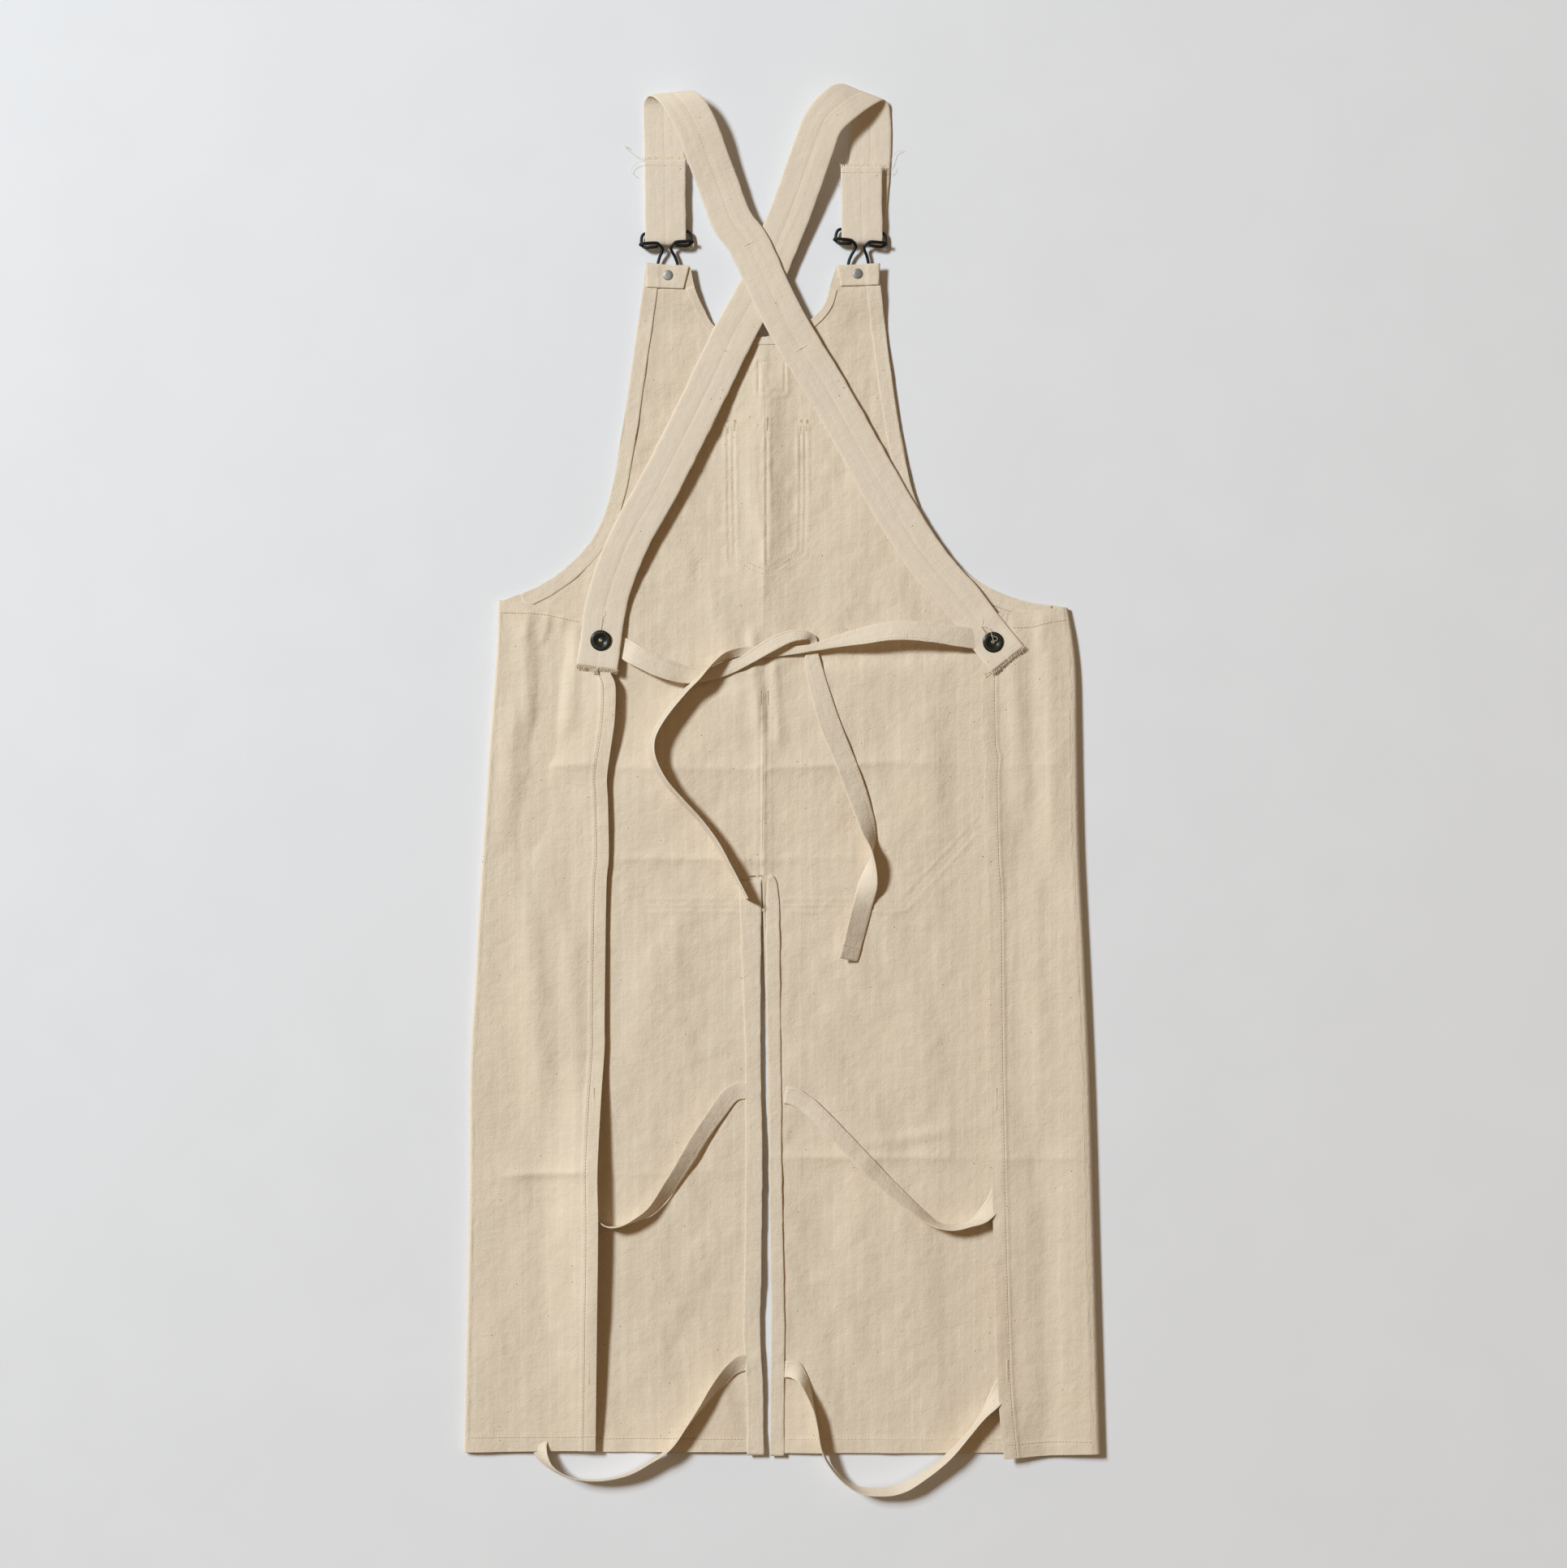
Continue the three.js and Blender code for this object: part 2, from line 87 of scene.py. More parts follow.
# A broad even light and a nearer lamp on the same side, which is why the table is brighter at the upper left.
# The room's own light is dim and warm, as in the cloth's shadows.
LAMP_PLACE = tuple(TO_LIGHT * 4)
SUN_SOFTNESS = math.radians(9)
light("key", "SUN", 2.12, LAMP_PLACE, angle=SUN_SOFTNESS, color=(0.887, 0.948, 1.0))
light("key_near", "AREA", 68, LAMP_PLACE, shape="DISK", size=0.7, color=(0.80, 0.905, 1.0))
ROOM_COLOR = (0.205, 0.140, 0.080, 1)
world = bpy.data.worlds.new("studio")
world.use_nodes = True
room = world.node_tree.nodes["Background"]
room.inputs["Color"].default_value = ROOM_COLOR
room.inputs["Strength"].default_value = 1.0
bpy.context.scene.world = world

# ---------------------------------------------------------------- curves and surfaces


def spline(points, spacing=None, count=None):
    """Points evenly spaced along a smooth curve through the given ones, in any number of dimensions."""
    p = np.array(points, float)
    ends = np.vstack([2 * p[0] - p[1], p, 2 * p[-1] - p[-2]])
    t = np.linspace(0, 1, 13)[:-1][:, None]
    dense = []
    for i in range(1, len(ends) - 2):
        a, b, c, d = ends[i - 1 : i + 3]
        bend = 2 * a - 5 * b + 4 * c - d, -a + 3 * b - 3 * c + d
        dense.append(0.5 * (2 * b + (c - a) * t + bend[0] * t**2 + bend[1] * t**3))
    dense = np.vstack(dense + [p[-1:]])
    return evenly(dense, spacing, count)


def evenly(points, spacing=None, count=None):
    """Points evenly spaced along straight lines through the given ones, by their first three numbers."""
    p = np.array(points, float)
    step = np.linalg.norm(np.diff(p[:, : min(3, p.shape[1])], axis=0), axis=1)
    s = np.concatenate([[0], np.cumsum(step)])
    n = count or max(2, int(round(s[-1] / spacing)) + 1)
    at = np.linspace(0, s[-1], n)
    return np.column_stack([np.interp(at, s, p[:, k]) for k in range(p.shape[1])])


def unit(vectors, least=1e-9):
    """Each row of vectors at length one."""
    return vectors / np.maximum(np.linalg.norm(vectors, axis=-1, keepdims=True), least)


def finer_rows(grid, at):
    """The rows of a grid at the given places, which may lie between its own rows."""
    low = np.clip(np.floor(at).astype(int), 0, grid.shape[0] - 2)
    part = (at - low)[:, None, None]
    return grid[low] * (1 - part) + grid[low + 1] * part


def evenly_paired(first, second):
    """Two curves of matching rows, with the rows spaced evenly along both."""
    step = np.linalg.norm(np.diff(first, axis=0), axis=1) + np.linalg.norm(np.diff(second, axis=0), axis=1)
    s = np.concatenate([[0], np.cumsum(step)])
    at = np.linspace(0, s[-1], len(s))
    both = np.hstack([first, second])
    return np.column_stack([np.interp(at, s, both[:, k]) for k in range(4)])


LATTICE = rng.uniform(-1, 1, (128, 128))


def noise(x, y, size_x, size_y=None, seed=0):
    """Smooth noise from -1 to 1 with features of the given size, in the units of x and y."""
    x = np.asarray(x, float) / size_x + 17.3 * seed
    y = np.asarray(y, float) / (size_y or size_x) + 9.1 * seed
    i, j = np.floor(x).astype(int), np.floor(y).astype(int)
    u, v = x - i, y - j
    u, v = u * u * u * (u * (u * 6 - 15) + 10), v * v * v * (v * (v * 6 - 15) + 10)
    at = lambda a, b: LATTICE[(i + a) % 128, (j + b) % 128]
    return (at(0, 0) * (1 - u) + at(1, 0) * u) * (1 - v) + (at(0, 1) * (1 - u) + at(1, 1) * u) * v


def smoothstep(a, b, x):
    t = np.clip((np.asarray(x, float) - a) / (b - a), 0, 1)
    return t * t * (3 - 2 * t)


def table(x, pairs):
    """Straight lines through (x, value) pairs."""
    xs, ys = zip(*sorted(pairs))
    return np.interp(x, xs, ys)


def distance_to(x, y, a, b):
    """Signed distance of points from the segment a-b, and how far along it they are."""
    a, b = np.array(a, float), np.array(b, float)
    d = b - a
    length = np.hypot(*d)
    along = ((x - a[0]) * d[0] + (y - a[1]) * d[1]) / length
    beside = ((x - a[0]) * -d[1] + (y - a[1]) * d[0]) / length
    return beside, along / length


def ridge(x, y, a, b, height, width, sharp=True, fade=0.15):
    """A fold from a to b that stands up by height and dies away over width on both sides and at its ends."""
    d, t = distance_to(x, y, a, b)
    ends = smoothstep(-fade, fade, t) * smoothstep(1 + fade, 1 - fade, t)
    shape = np.exp(-np.abs(d) / width) if sharp else np.exp(-((d / width) ** 2))
    return height * shape * ends


# ---------------------------------------------------------------- meshes


def add_mesh(name, vertices, faces, material, body, uv=None):
    """A smooth mesh from vertices in millimetres, with its flat cloth coordinates as a UV map in metres."""
    mesh = bpy.data.meshes.new(name)
    mesh.from_pydata((np.asarray(vertices) * MM).tolist(), [], [list(map(int, f)) for f in faces])
    mesh.materials.append(material)
    mesh.polygons.foreach_set("use_smooth", [True] * len(mesh.polygons))
    if uv is not None:
        layer = mesh.uv_layers.new(name="cloth")
        corner = np.zeros(len(mesh.loops), int)
        mesh.loops.foreach_get("vertex_index", corner)
        layer.data.foreach_set("uv", (np.asarray(uv) * MM)[corner].ravel())
    mesh.update()
    obj = bpy.data.objects.new(name, mesh)
    bpy.context.collection.objects.link(obj)
    if body:
        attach(obj, body)
    return obj


def normals_of(grid):
    du = np.gradient(grid, axis=1)
    dv = np.gradient(grid, axis=0)
    return unit(np.cross(du, dv))


def slab(name, grid, thickness, material, body, uv=None):
    """A closed sheet of cloth whose middle surface is a grid of points, rows by columns."""
    rows, cols, _ = grid.shape
    n = normals_of(grid)
    half = np.broadcast_to(np.asarray(thickness, float) / 2, (rows, cols))[..., None]
    top = (grid + n * half).reshape(-1, 3)
    low = (grid - n * half).reshape(-1, 3)
    flat = (grid[..., :2] if uv is None else uv).reshape(-1, 2)
    index = np.arange(rows * cols).reshape(rows, cols)
    quads = np.stack([index[:-1, :-1], index[:-1, 1:], index[1:, 1:], index[1:, :-1]], -1).reshape(-1, 4)
    count = rows * cols
    rim = np.concatenate([index[0, :], index[1:, -1], index[-1, -2::-1], index[-2:0:-1, 0]])
    ahead = np.roll(rim, -1)
    sides = np.stack([rim, rim + count, ahead + count, ahead], -1)
    faces = np.concatenate([quads, quads[:, ::-1] + count, sides])
    return add_mesh(name, np.vstack([top, low]), faces, material, body, np.vstack([flat, flat]))


SEAM_DEPTH, SEAM_WIDTH = 0.25, 0.05  # of a band's half thickness and of its half width
EDGE_ROUNDNESS = 14  # the higher, the squarer a band's edges


def profile(seam=None):
    """Columns across a band from -1 to 1 and its half thickness at each, as shares of the full half."""
    side = [0.05, 0.12, 0.3, 0.5, 0.7, 0.82, 0.9, 0.95, 0.985, 1]
    u = np.array([-c for c in reversed(side)] + [0] + side)
    h = np.sqrt(np.clip(1 - np.abs(u) ** EDGE_ROUNDNESS, 0, 1))
    if seam is not None:
        h = h - SEAM_DEPTH * np.exp(-(((u - seam) / SEAM_WIDTH) ** 2))
    return u, h


def band(name, path, across, width, thickness, material, body, seam=None, wobble=0.0, seed=1):
    """A closed strip of doubled cloth: path and across are rows of points and of unit vectors."""
    u, h = profile(seam=seam)
    rows, cols = len(path), len(u)
    tangent = np.gradient(path, axis=0)
    normal = unit(np.cross(across, tangent))
    along = np.concatenate([[0], np.cumsum(np.linalg.norm(np.diff(path, axis=0), axis=1))])
    half = np.broadcast_to(np.asarray(width, float) / 2, (rows,))[:, None]
    drift = wobble * noise(along, along * 0, 9, seed=seed)[:, None] * np.abs(u)[None, :]
    reach = half * u[None, :] + np.sign(u)[None, :] * drift
    puff = 1 + 0.10 * noise(along[:, None] + 0 * u, 8 * u[None, :] + 0 * along[:, None], 14, 7, seed=seed + 3)
    thick = np.broadcast_to(np.asarray(thickness, float), (rows,))[:, None] / 2 * puff
    middle = path[:, None, :] + reach[..., None] * across[:, None, :]
    top = middle + (h[None, :] * thick)[..., None] * normal[:, None, :]
    low = middle - (h[None, :] * thick)[..., None] * normal[:, None, :]
    ring = np.concatenate([top, low[:, -2:0:-1]], axis=1)
    around = ring.shape[1]
    index = np.arange(rows * around).reshape(rows, around)
    after = np.roll(index, -1, axis=1)
    quads = np.stack([index[:-1], after[:-1], after[1:], index[1:]], -1).reshape(-1, 4)
    faces = [tuple(q) for q in quads] + [tuple(index[0][::-1]), tuple(index[-1])]
    flat = np.concatenate([reach, reach[:, -2:0:-1]], axis=1)
    uv = np.stack([flat, np.broadcast_to(along[:, None], flat.shape)], -1).reshape(-1, 2)
    obj = add_mesh(name, ring.reshape(-1, 3), faces, material, body, uv)
    surface = lambda share: path + half * share * across + normal * np.asarray(thick)[:, :1] * 0.97
    return obj, surface, normal


class Stitches:
    """Many short stitches in one mesh: each a small spindle lying on the cloth."""

    def __init__(self):
        self.vertices, self.faces, self.holes = [], [], set()

    def hole(self, at, up, radius=0.42):
        """The dimple where the needle went in, its faces coloured dark brown as painted shade in the pit."""
        at, up = np.array(at, float), np.array(up, float)
        side = np.cross(up, [0.31, 0.87, 0.37])
        side /= np.linalg.norm(side)
        other = np.cross(up, side)
        first = len(self.vertices)
        for k in range(5):
            a = 2 * math.pi * k / 5
            self.vertices.append(at + (side * math.cos(a) + other * math.sin(a)) * radius - up * 0.22)
        self.vertices += [at + up * 0.06, at - up * 0.4]
        for k in range(5):
            m = (k + 1) % 5
            self.holes.update((len(self.faces), len(self.faces) + 1))
            self.faces += [(first + 5, first + k, first + m), (first + 6, first + m, first + k)]

    def spindle(self, a, b, up, radius):
        a, b, up = np.array(a, float), np.array(b, float), np.array(up, float)
        way = b - a
        side = np.cross(way, up)
        side /= max(np.linalg.norm(side), 1e-9)
        first = len(self.vertices)
        sink = up * radius * 0.35
        for share in (0.22, 0.78):
            c = a + way * share - sink
            self.vertices += [c + side * radius, c + up * radius, c - side * radius, c - up * radius]
        self.vertices += [a - sink * 1.6, b - sink * 1.6]
        for k in range(4):
            m = (k + 1) % 4
            self.faces += [
                (first + 8, first + m, first + k),
                (first + k, first + m, first + 4 + m, first + 4 + k),
                (first + 9, first + 4 + k, first + 4 + m),
            ]

    def row(self, points, up=(0, 0, 1), pitch=3.1, radius=0.26, share=0.78):
        points = np.array(points, float)
        ups = np.broadcast_to(np.array(up, float), points.shape)
        both = evenly(np.hstack([points, ups]), spacing=pitch)
        for p, q in zip(both[:-1], both[1:]):
            start = p[:3] + (q[:3] - p[:3]) * (1 - share) / 2
            stop = q[:3] - (q[:3] - p[:3]) * (1 - share) / 2
            up = p[3:] / max(np.linalg.norm(p[3:]), 1e-9)
            self.spindle(start, stop, up, radius)
            self.hole(p[:3], up)

    def bartack(self, a, b, width, up=(0, 0, 1)):
        """A block of close stitches across the line from a to b."""
        a, b, up = np.array(a, float), np.array(b, float), np.array(up, float)
        way = b - a
        side = np.cross(up, way / np.linalg.norm(way)) * width / 2
        count = max(3, int(np.linalg.norm(way) / 0.75))
        for k in range(count + 1):
            c = a + way * k / count
            lean = way / count * 0.45
            self.spindle(c - side - lean, c + side + lean, up, 0.36)

    def thread(self, points, radius=0.16):
        """A loose thread: a thin tube with four sides."""
        p = spline(points, spacing=0.9)
        tangent = unit(np.gradient(p, axis=0))
        side = unit(np.cross(tangent, [0.13, 0.21, 0.97]))
        up = np.cross(side, tangent)
        first = len(self.vertices)
        for c, s, u in zip(p, side, up):
            self.vertices += [c + s * radius, c + u * radius, c - s * radius, c - u * radius]
        for r in range(len(p) - 1):
            for k in range(4):
                m = (k + 1) % 4
                i = first + 4 * r
                self.faces.append((i + k, i + 4 + k, i + 4 + m, i + m))
        last = first + 4 * (len(p) - 1)
        self.faces += [(first, first + 1, first + 2, first + 3), (last + 3, last + 2, last + 1, last)]

    def make(self, name, body):
        obj = add_mesh(name, np.array(self.vertices), self.faces, thread_cotton, None)
        # The hole faces take the dark brown of the painted shade in each needle hole.
        obj.data.materials.append(needle_hole_shade)
        for k in self.holes:
            obj.data.polygons[k].material_index = 1
        if body:
            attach(obj, body)
        return obj


# ---------------------------------------------------------------- materials


class Nodes:
    """A material's nodes, added and joined in one call each. i0, i1 are a node's numbered inputs."""

    def __init__(self, name):
        self.material = bpy.data.materials.new(name)
        self.material.use_nodes = True
        self.tree = self.material.node_tree
        self.shader = self.tree.nodes["Principled BSDF"]

    def add(self, kind, settings=None, **inputs):
        node = self.tree.nodes.new("ShaderNode" + kind)
        for key, value in (settings or {}).items():
            setattr(node, key, value)
        for key, value in inputs.items():
            name = int(key[1:]) if key[0] == "i" and key[1:].isdigit() else key.replace("_", " ")
            socket = node.inputs[name]
            if isinstance(value, bpy.types.NodeSocket):
                self.tree.links.new(value, socket)
            else:
                socket.default_value = value
        return node

    def math(self, operation, a, b=0.0, clamp=False):
        return self.add("Math", {"operation": operation, "use_clamp": clamp}, i0=a, i1=b).outputs[0]

    def mix(self, share, a, b):
        node = self.add("Mix", {"data_type": "RGBA"})
        for k, value in ((0, share), (6, a), (7, b)):
            if isinstance(value, bpy.types.NodeSocket):
                self.tree.links.new(value, node.inputs[k])
            else:
                node.inputs[k].default_value = value
        return node.outputs[2]

    def ramp(self, fac, low, high):
        node = self.add("MapRange", {"clamp": True})
        self.tree.links.new(fac, node.inputs[0])
        node.inputs[1].default_value = low
        node.inputs[2].default_value = high
        return node.outputs[0]


STRIPE_PITCH, RIB_PITCH = 0.0115, 0.00145  # the herringbone, in metres
SEED_FLECK = (0.10, 0.055, 0.025, 1)


def cotton(name, color, stripes=1.0, flecks=1.0, crumple=0.55):
    """Undyed herringbone twill: stripes of slanting ribs, slubs along the warp and brown seed flecks."""
    m = Nodes(name)
    uv = m.add("UVMap", {"uv_map": "cloth"}).outputs[0]
    part = m.add("SeparateXYZ", Vector=uv)
    x, y = part.outputs[0], part.outputs[1]
    stripe = m.math("MULTIPLY", x, 1 / STRIPE_PITCH)
    sway = m.math("PINGPONG", stripe, 0.5)
    chevron = m.math("ADD", m.math("MULTIPLY", sway, STRIPE_PITCH * 2), y)
    ribs = m.math("SINE", m.math("MULTIPLY", chevron, 2 * math.pi / RIB_PITCH))
    side = m.math("GREATER_THAN", m.math("FRACT", stripe), 0.5)
    stretched = m.add("Mapping", Vector=uv)
    stretched.inputs["Scale"].default_value = (330, 14, 1)
    warp = m.add("TexNoise", Vector=stretched.outputs[0], Scale=1.0, Detail=2.0).outputs[0]
    weft_map = m.add("Mapping", Vector=uv)
    weft_map.inputs["Scale"].default_value = (30, 420, 1)
    weft = m.add("TexNoise", Vector=weft_map.outputs[0], Scale=1.0, Detail=2.0).outputs[0]
    cloud = m.add("TexNoise", Vector=uv, Scale=11.0, Detail=3.0).outputs[0]
    grain = m.add("TexNoise", Vector=uv, Scale=620.0, Detail=2.0).outputs[0]
    cells = m.add("TexVoronoi", Vector=uv, Scale=135.0)
    dot = m.math("LESS_THAN", cells.outputs["Distance"], 0.075)
    chosen = m.math("GREATER_THAN", m.add("SeparateColor", Color=cells.outputs["Color"]).outputs[0], 0.83)
    fleck = m.math("MULTIPLY", m.math("MULTIPLY", dot, chosen), 0.75 * flecks)
    base = np.array(color)
    light_tone = (*np.minimum(base * 1.02, 1), 1)
    dark_tone = (*(base * np.array([0.965, 0.955, 0.94])), 1)
    mixed = m.mix(m.ramp(warp, 0.36, 0.64), dark_tone, light_tone)
    mixed = m.mix(m.math("MULTIPLY", side, 0.8 * stripes), mixed, (*(base * 0.945), 1))
    warm_tone = (*(base * np.array([1.03, 1.0, 0.95])), 1)
    mixed = m.mix(m.math("MULTIPLY", m.ramp(cloud, 0.35, 0.7), 0.35), mixed, warm_tone)
    mixed = m.mix(m.math("MULTIPLY", m.ramp(grain, 0.38, 0.66), 0.25), mixed, (*(base * 0.90), 1))
    mixed = m.mix(m.math("MULTIPLY", m.ramp(weft, 0.66, 0.78), 0.30), mixed, (*(base * 0.86), 1))
    mixed = m.mix(fleck, mixed, SEED_FLECK)
    m.tree.links.new(mixed, m.shader.inputs["Base Color"])
    relief = m.math("ADD", m.math("MULTIPLY", ribs, 0.16), m.math("MULTIPLY", grain, 0.9))
    relief = m.math("ADD", relief, m.math("MULTIPLY", warp, 0.8))
    relief = m.math("ADD", relief, m.math("MULTIPLY", weft, 0.5))
    weave = m.add("Bump", Height=relief, Strength=0.45, Distance=0.0004)
    large = m.add("TexNoise", Vector=uv, Scale=48.0, Detail=4.0, Roughness=0.62).outputs[0]
    bump = m.add("Bump", Height=large, Strength=crumple, Distance=0.0032, Normal=weave.outputs[0])
    m.tree.links.new(bump.outputs[0], m.shader.inputs["Normal"])
    rough = m.add("MapRange")
    m.tree.links.new(grain, rough.inputs[0])
    rough.inputs[3].default_value = 0.82
    rough.inputs[4].default_value = 0.97
    m.tree.links.new(rough.outputs[0], m.shader.inputs["Roughness"])
    m.shader.inputs["Sheen Weight"].default_value = 0.12
    m.shader.inputs["Sheen Roughness"].default_value = 0.6
    m.shader.inputs["Specular IOR Level"].default_value = 0.15
    return m.material


def plain(name, color, roughness, metallic=0.0, scale=900.0, depth=0.00003, spread=0.12):
    """A hard finish with fine mottling and pitting in it."""
    m = Nodes(name)
    place = m.add("TexCoord").outputs["Object"]
    grain = m.add("TexNoise", Vector=place, Scale=scale, Detail=4.0).outputs[0]
    worn = m.add("TexNoise", Vector=place, Scale=scale / 5, Detail=2.0).outputs[0]
    base = np.array(color)
    tone = m.mix(m.ramp(worn, 0.4, 0.65), (*base, 1), (*np.minimum(base * (1 + 3 * spread) + 0.004, 1), 1))
    m.tree.links.new(tone, m.shader.inputs["Base Color"])
    m.shader.inputs["Metallic"].default_value = metallic
    rough = m.add("MapRange")
    m.tree.links.new(grain, rough.inputs[0])
    rough.inputs[3].default_value = max(roughness - 0.12, 0.05)
    rough.inputs[4].default_value = min(roughness + 0.12, 1)
    m.tree.links.new(rough.outputs[0], m.shader.inputs["Roughness"])
    bump = m.add("Bump", Height=grain, Strength=0.4, Distance=depth)
    m.tree.links.new(bump.outputs[0], m.shader.inputs["Normal"])
    return m.material


CREAM = (0.775, 0.657, 0.505)
cloth = cotton("twill", CREAM)
strap_cloth = cotton("strap_twill", (0.785, 0.680, 0.540), stripes=0.3, crumple=0.35)
trim_cloth = cotton("facing_twill", (0.775, 0.665, 0.520), stripes=0.4, flecks=0.6)
tape_cloth = cotton("tape_twill", (0.775, 0.668, 0.525), stripes=0.3, flecks=0.6)
label_cloth = cotton("label_cloth", (0.74, 0.70, 0.60), stripes=0.0, flecks=0.2)
thread_cotton = plain("thread", (0.77, 0.66, 0.50), 0.9, scale=2000, spread=0.02)
# Painted shade: the dark brown given to needle holes stands in for the shade down in each pit.
needle_hole_shade = plain("needle_hole_shade", (0.42, 0.30, 0.18), 1.0, scale=2000, spread=0.02)
black_enamel = plain("black_enamel", (0.004, 0.0045, 0.005), 0.45)
black_enamel.node_tree.nodes["Principled BSDF"].inputs["Specular IOR Level"].default_value = 0.3
button_face = plain("button_enamel", (0.016, 0.018, 0.016), 0.30, metallic=0.3)
nickel = plain("nickel", (0.30, 0.29, 0.27), 0.48, metallic=0.75)
brass = plain("worn_rivet", (0.30, 0.24, 0.13), 0.4, metallic=0.8)

# ---------------------------------------------------------------- routes of the ties and leg tapes

TIE_WIDTH, LEG_TAPE_WIDTH = 19, 16


def followed(route, width, side=-1):
    """Rows of x, y, z, across vector and width from stations [x, y, height of lower edge, roll, width]."""
    full = [list(r) + [0, width][len(r) - 3 :] for r in route]
    stations = []
    for i, (x, y, low, roll, wide) in enumerate(full):
        p, q = full[max(i - 1, 0)], full[min(i + 1, len(full) - 1)]
        heading = math.atan2(q[1] - p[1], q[0] - p[0]) + side * math.pi / 2
        flat, rise = math.cos(math.radians(roll)), math.sin(math.radians(roll))
        a = (math.cos(heading) * flat, math.sin(heading) * flat, rise)
        stations.append([x, y, low + wide / 2 * rise, *(c * wide / 2 for c in a)])
    return stations


def ribbon_rows(stations, spacing):
    """Even rows along a ribbon: its middle, the direction of its width, and its width."""
    rows = spline(stations, spacing=spacing)
    reach = np.linalg.norm(rows[:, 3:6], axis=1, keepdims=True)
    return rows[:, :3], rows[:, 3:6] / reach, 2 * reach[:, 0]


TIES = {
    "waist_tie_left": [
        [-153, 116, 5.4, 0], [-145, 112.5, 7, 2], [-134, 106, 12, 8], [-108, 94, 12, 10],
        [-85, 88.5, 8, 4, 16], [-62, 90.5, 4.6, 0, 11],
        [-45, 96.5, 5.2, 0, 11], [-30, 104, 9.4, 10, 11], [-14, 114, 11.4, 12, 13], [6, 123.5, 11.4, 12, 12],
        [20, 125, 10.6, 8, 9],
        [28, 122, 6.6, 0, 7], [29, 115, 4.6, 0, 8], [28, 100, 4.2, 0, 15], [42, 48.8, 6, 8],
        [57, 11, 6.5, 10],
        [70.5, -26, 6, 16], [80, -56, 3.8, 46], [83, -75, 3.4, 88], [79.5, -101, 6, 150],
        [73, -127.5, 10.5, 198],
        [61, -174, 12, 205],
    ],
    "waist_tie_right": [
        [181, 121.5, 9, -4], [162, 123.8, 14, -8], [132, 128, 19, -14], [102, 129, 21, -16],
        [73, 124, 18, -14, 16],
        [49.5, 119, 13, -8, 11], [27, 113.5, 9, 0, 7], [4.5, 110.5, 7, 0, 8], [-18, 109, 6.6, 0, 9],
        [-34, 110.5, 5.6, 10, 9], [-50, 106.5, 5.6, 50, 11], [-63, 98.5, 5, 84, 15], [-76.5, 86, 4.2, 100],
        [-89, 74, 3.4, 104], [-106, 54, 2.8, 106], [-117, 36, 2.8, 106], [-120, 22.5, 2.8, 106],
        [-117, 8.3, 2.8, 104],
        [-107, -10, 2.8, 102], [-92.5, -27, 2.8, 102], [-76, -45, 2.8, 102], [-61.5, -64.3, 2.8, 102],
        [-49, -86, 2.8, 100], [-31.8, -118, 3, 96],
    ],
}
# Stations of the leg tapes: x, y, height of the lower edge, roll about the run.
LEG_TAPES = {
    "leg_tape_upper_left": [
        [-30.5, -295, 3.1, 0], [-40.5, -295, 3.6, 0], [-50, -301, 5, 8], [-61.5, -316.5, 7.5, 16],
        [-75.8, -337, 9, 22],
        [-90.8, -362, 8.5, 30], [-105, -384, 7, 40], [-119, -402.8, 5, 56], [-133.5, -412.5, 3.6, 72],
        [-148, -418.5, 2.8, 85],
        [-160, -419.5, 2.8, 85], [-171, -416, 2.9, 60], [-180, -405, 3.0, 20], [-183, -385, 3.1, 0],
        [-181, -345, 3.1, 0],
        [-176, -308, 3.1, 0],
    ],
    "leg_tape_upper_right": [
        [2.4, -299, 3.1, 0], [12.8, -301, 3.4, 2], [29, -313, 4.5, 8], [43.5, -327, 5.5, 14],
        [58.5, -342, 6, 18],
        [73.5, -357.8, 6, 22], [104.3, -388.5, 4.6, 36], [127.5, -408, 3.4, 58], [142.5, -417.5, 2.8, 76],
        [157, -420.5, 2.8, 80],
        [172, -417, 2.8, 76], [186, -409, 2.9, 40], [199, -392, 3.0, 6], [207, -365, 3.1, 0],
        [208, -335, 3.1, 0], [204, -306, 3.1, 0],
    ],
    "leg_tape_lower_left": [
        [-30.2, -546, 3.1, 0], [-38, -546, 3.2, 12], [-50, -554, 3.2, 38], [-63.8, -570, 3, 58],
        [-73.5, -583.5, 2.8, 72],
        [-87, -602, 2.6, 84], [-102, -622, 2.6, 90], [-121.5, -636, 2.6, 90], [-140, -646.5, 2.6, 86],
        [-160, -652, 2.6, 82],
        [-178.5, -653, 2.6, 80], [-196, -650, 2.6, 78], [-213, -641, 2.7, 66], [-223, -627, 2.9, 34],
        [-222, -612, 3.0, 6],
        [-212, -592, 3.1, 0], [-196, -572, 3.1, 0], [-182, -556, 3.1, 0],
    ],
    "leg_tape_lower_right": [
        [2.4, -551.5, 3.1, 0], [12, -552, 3.1, 20], [21, -563, 3.1, 60], [28.5, -585, 2.6, 86],
        [32.3, -602, 2.6, 90],
        [36.8, -625.5, 2.6, 90], [48.8, -646, 2.6, 90], [66.8, -660, 2.6, 82], [84.8, -663.5, 2.6, 72],
        [108, -661, 2.6, 68],
        [131, -648, 2.6, 70], [151.5, -632, 2.6, 76], [170, -612, 2.8, 82], [184, -594, 2.9, 76],
        [195, -580, 3, 40],
        [203, -568, 3.1, 8], [209, -556, 3.1, 0],
    ],
}
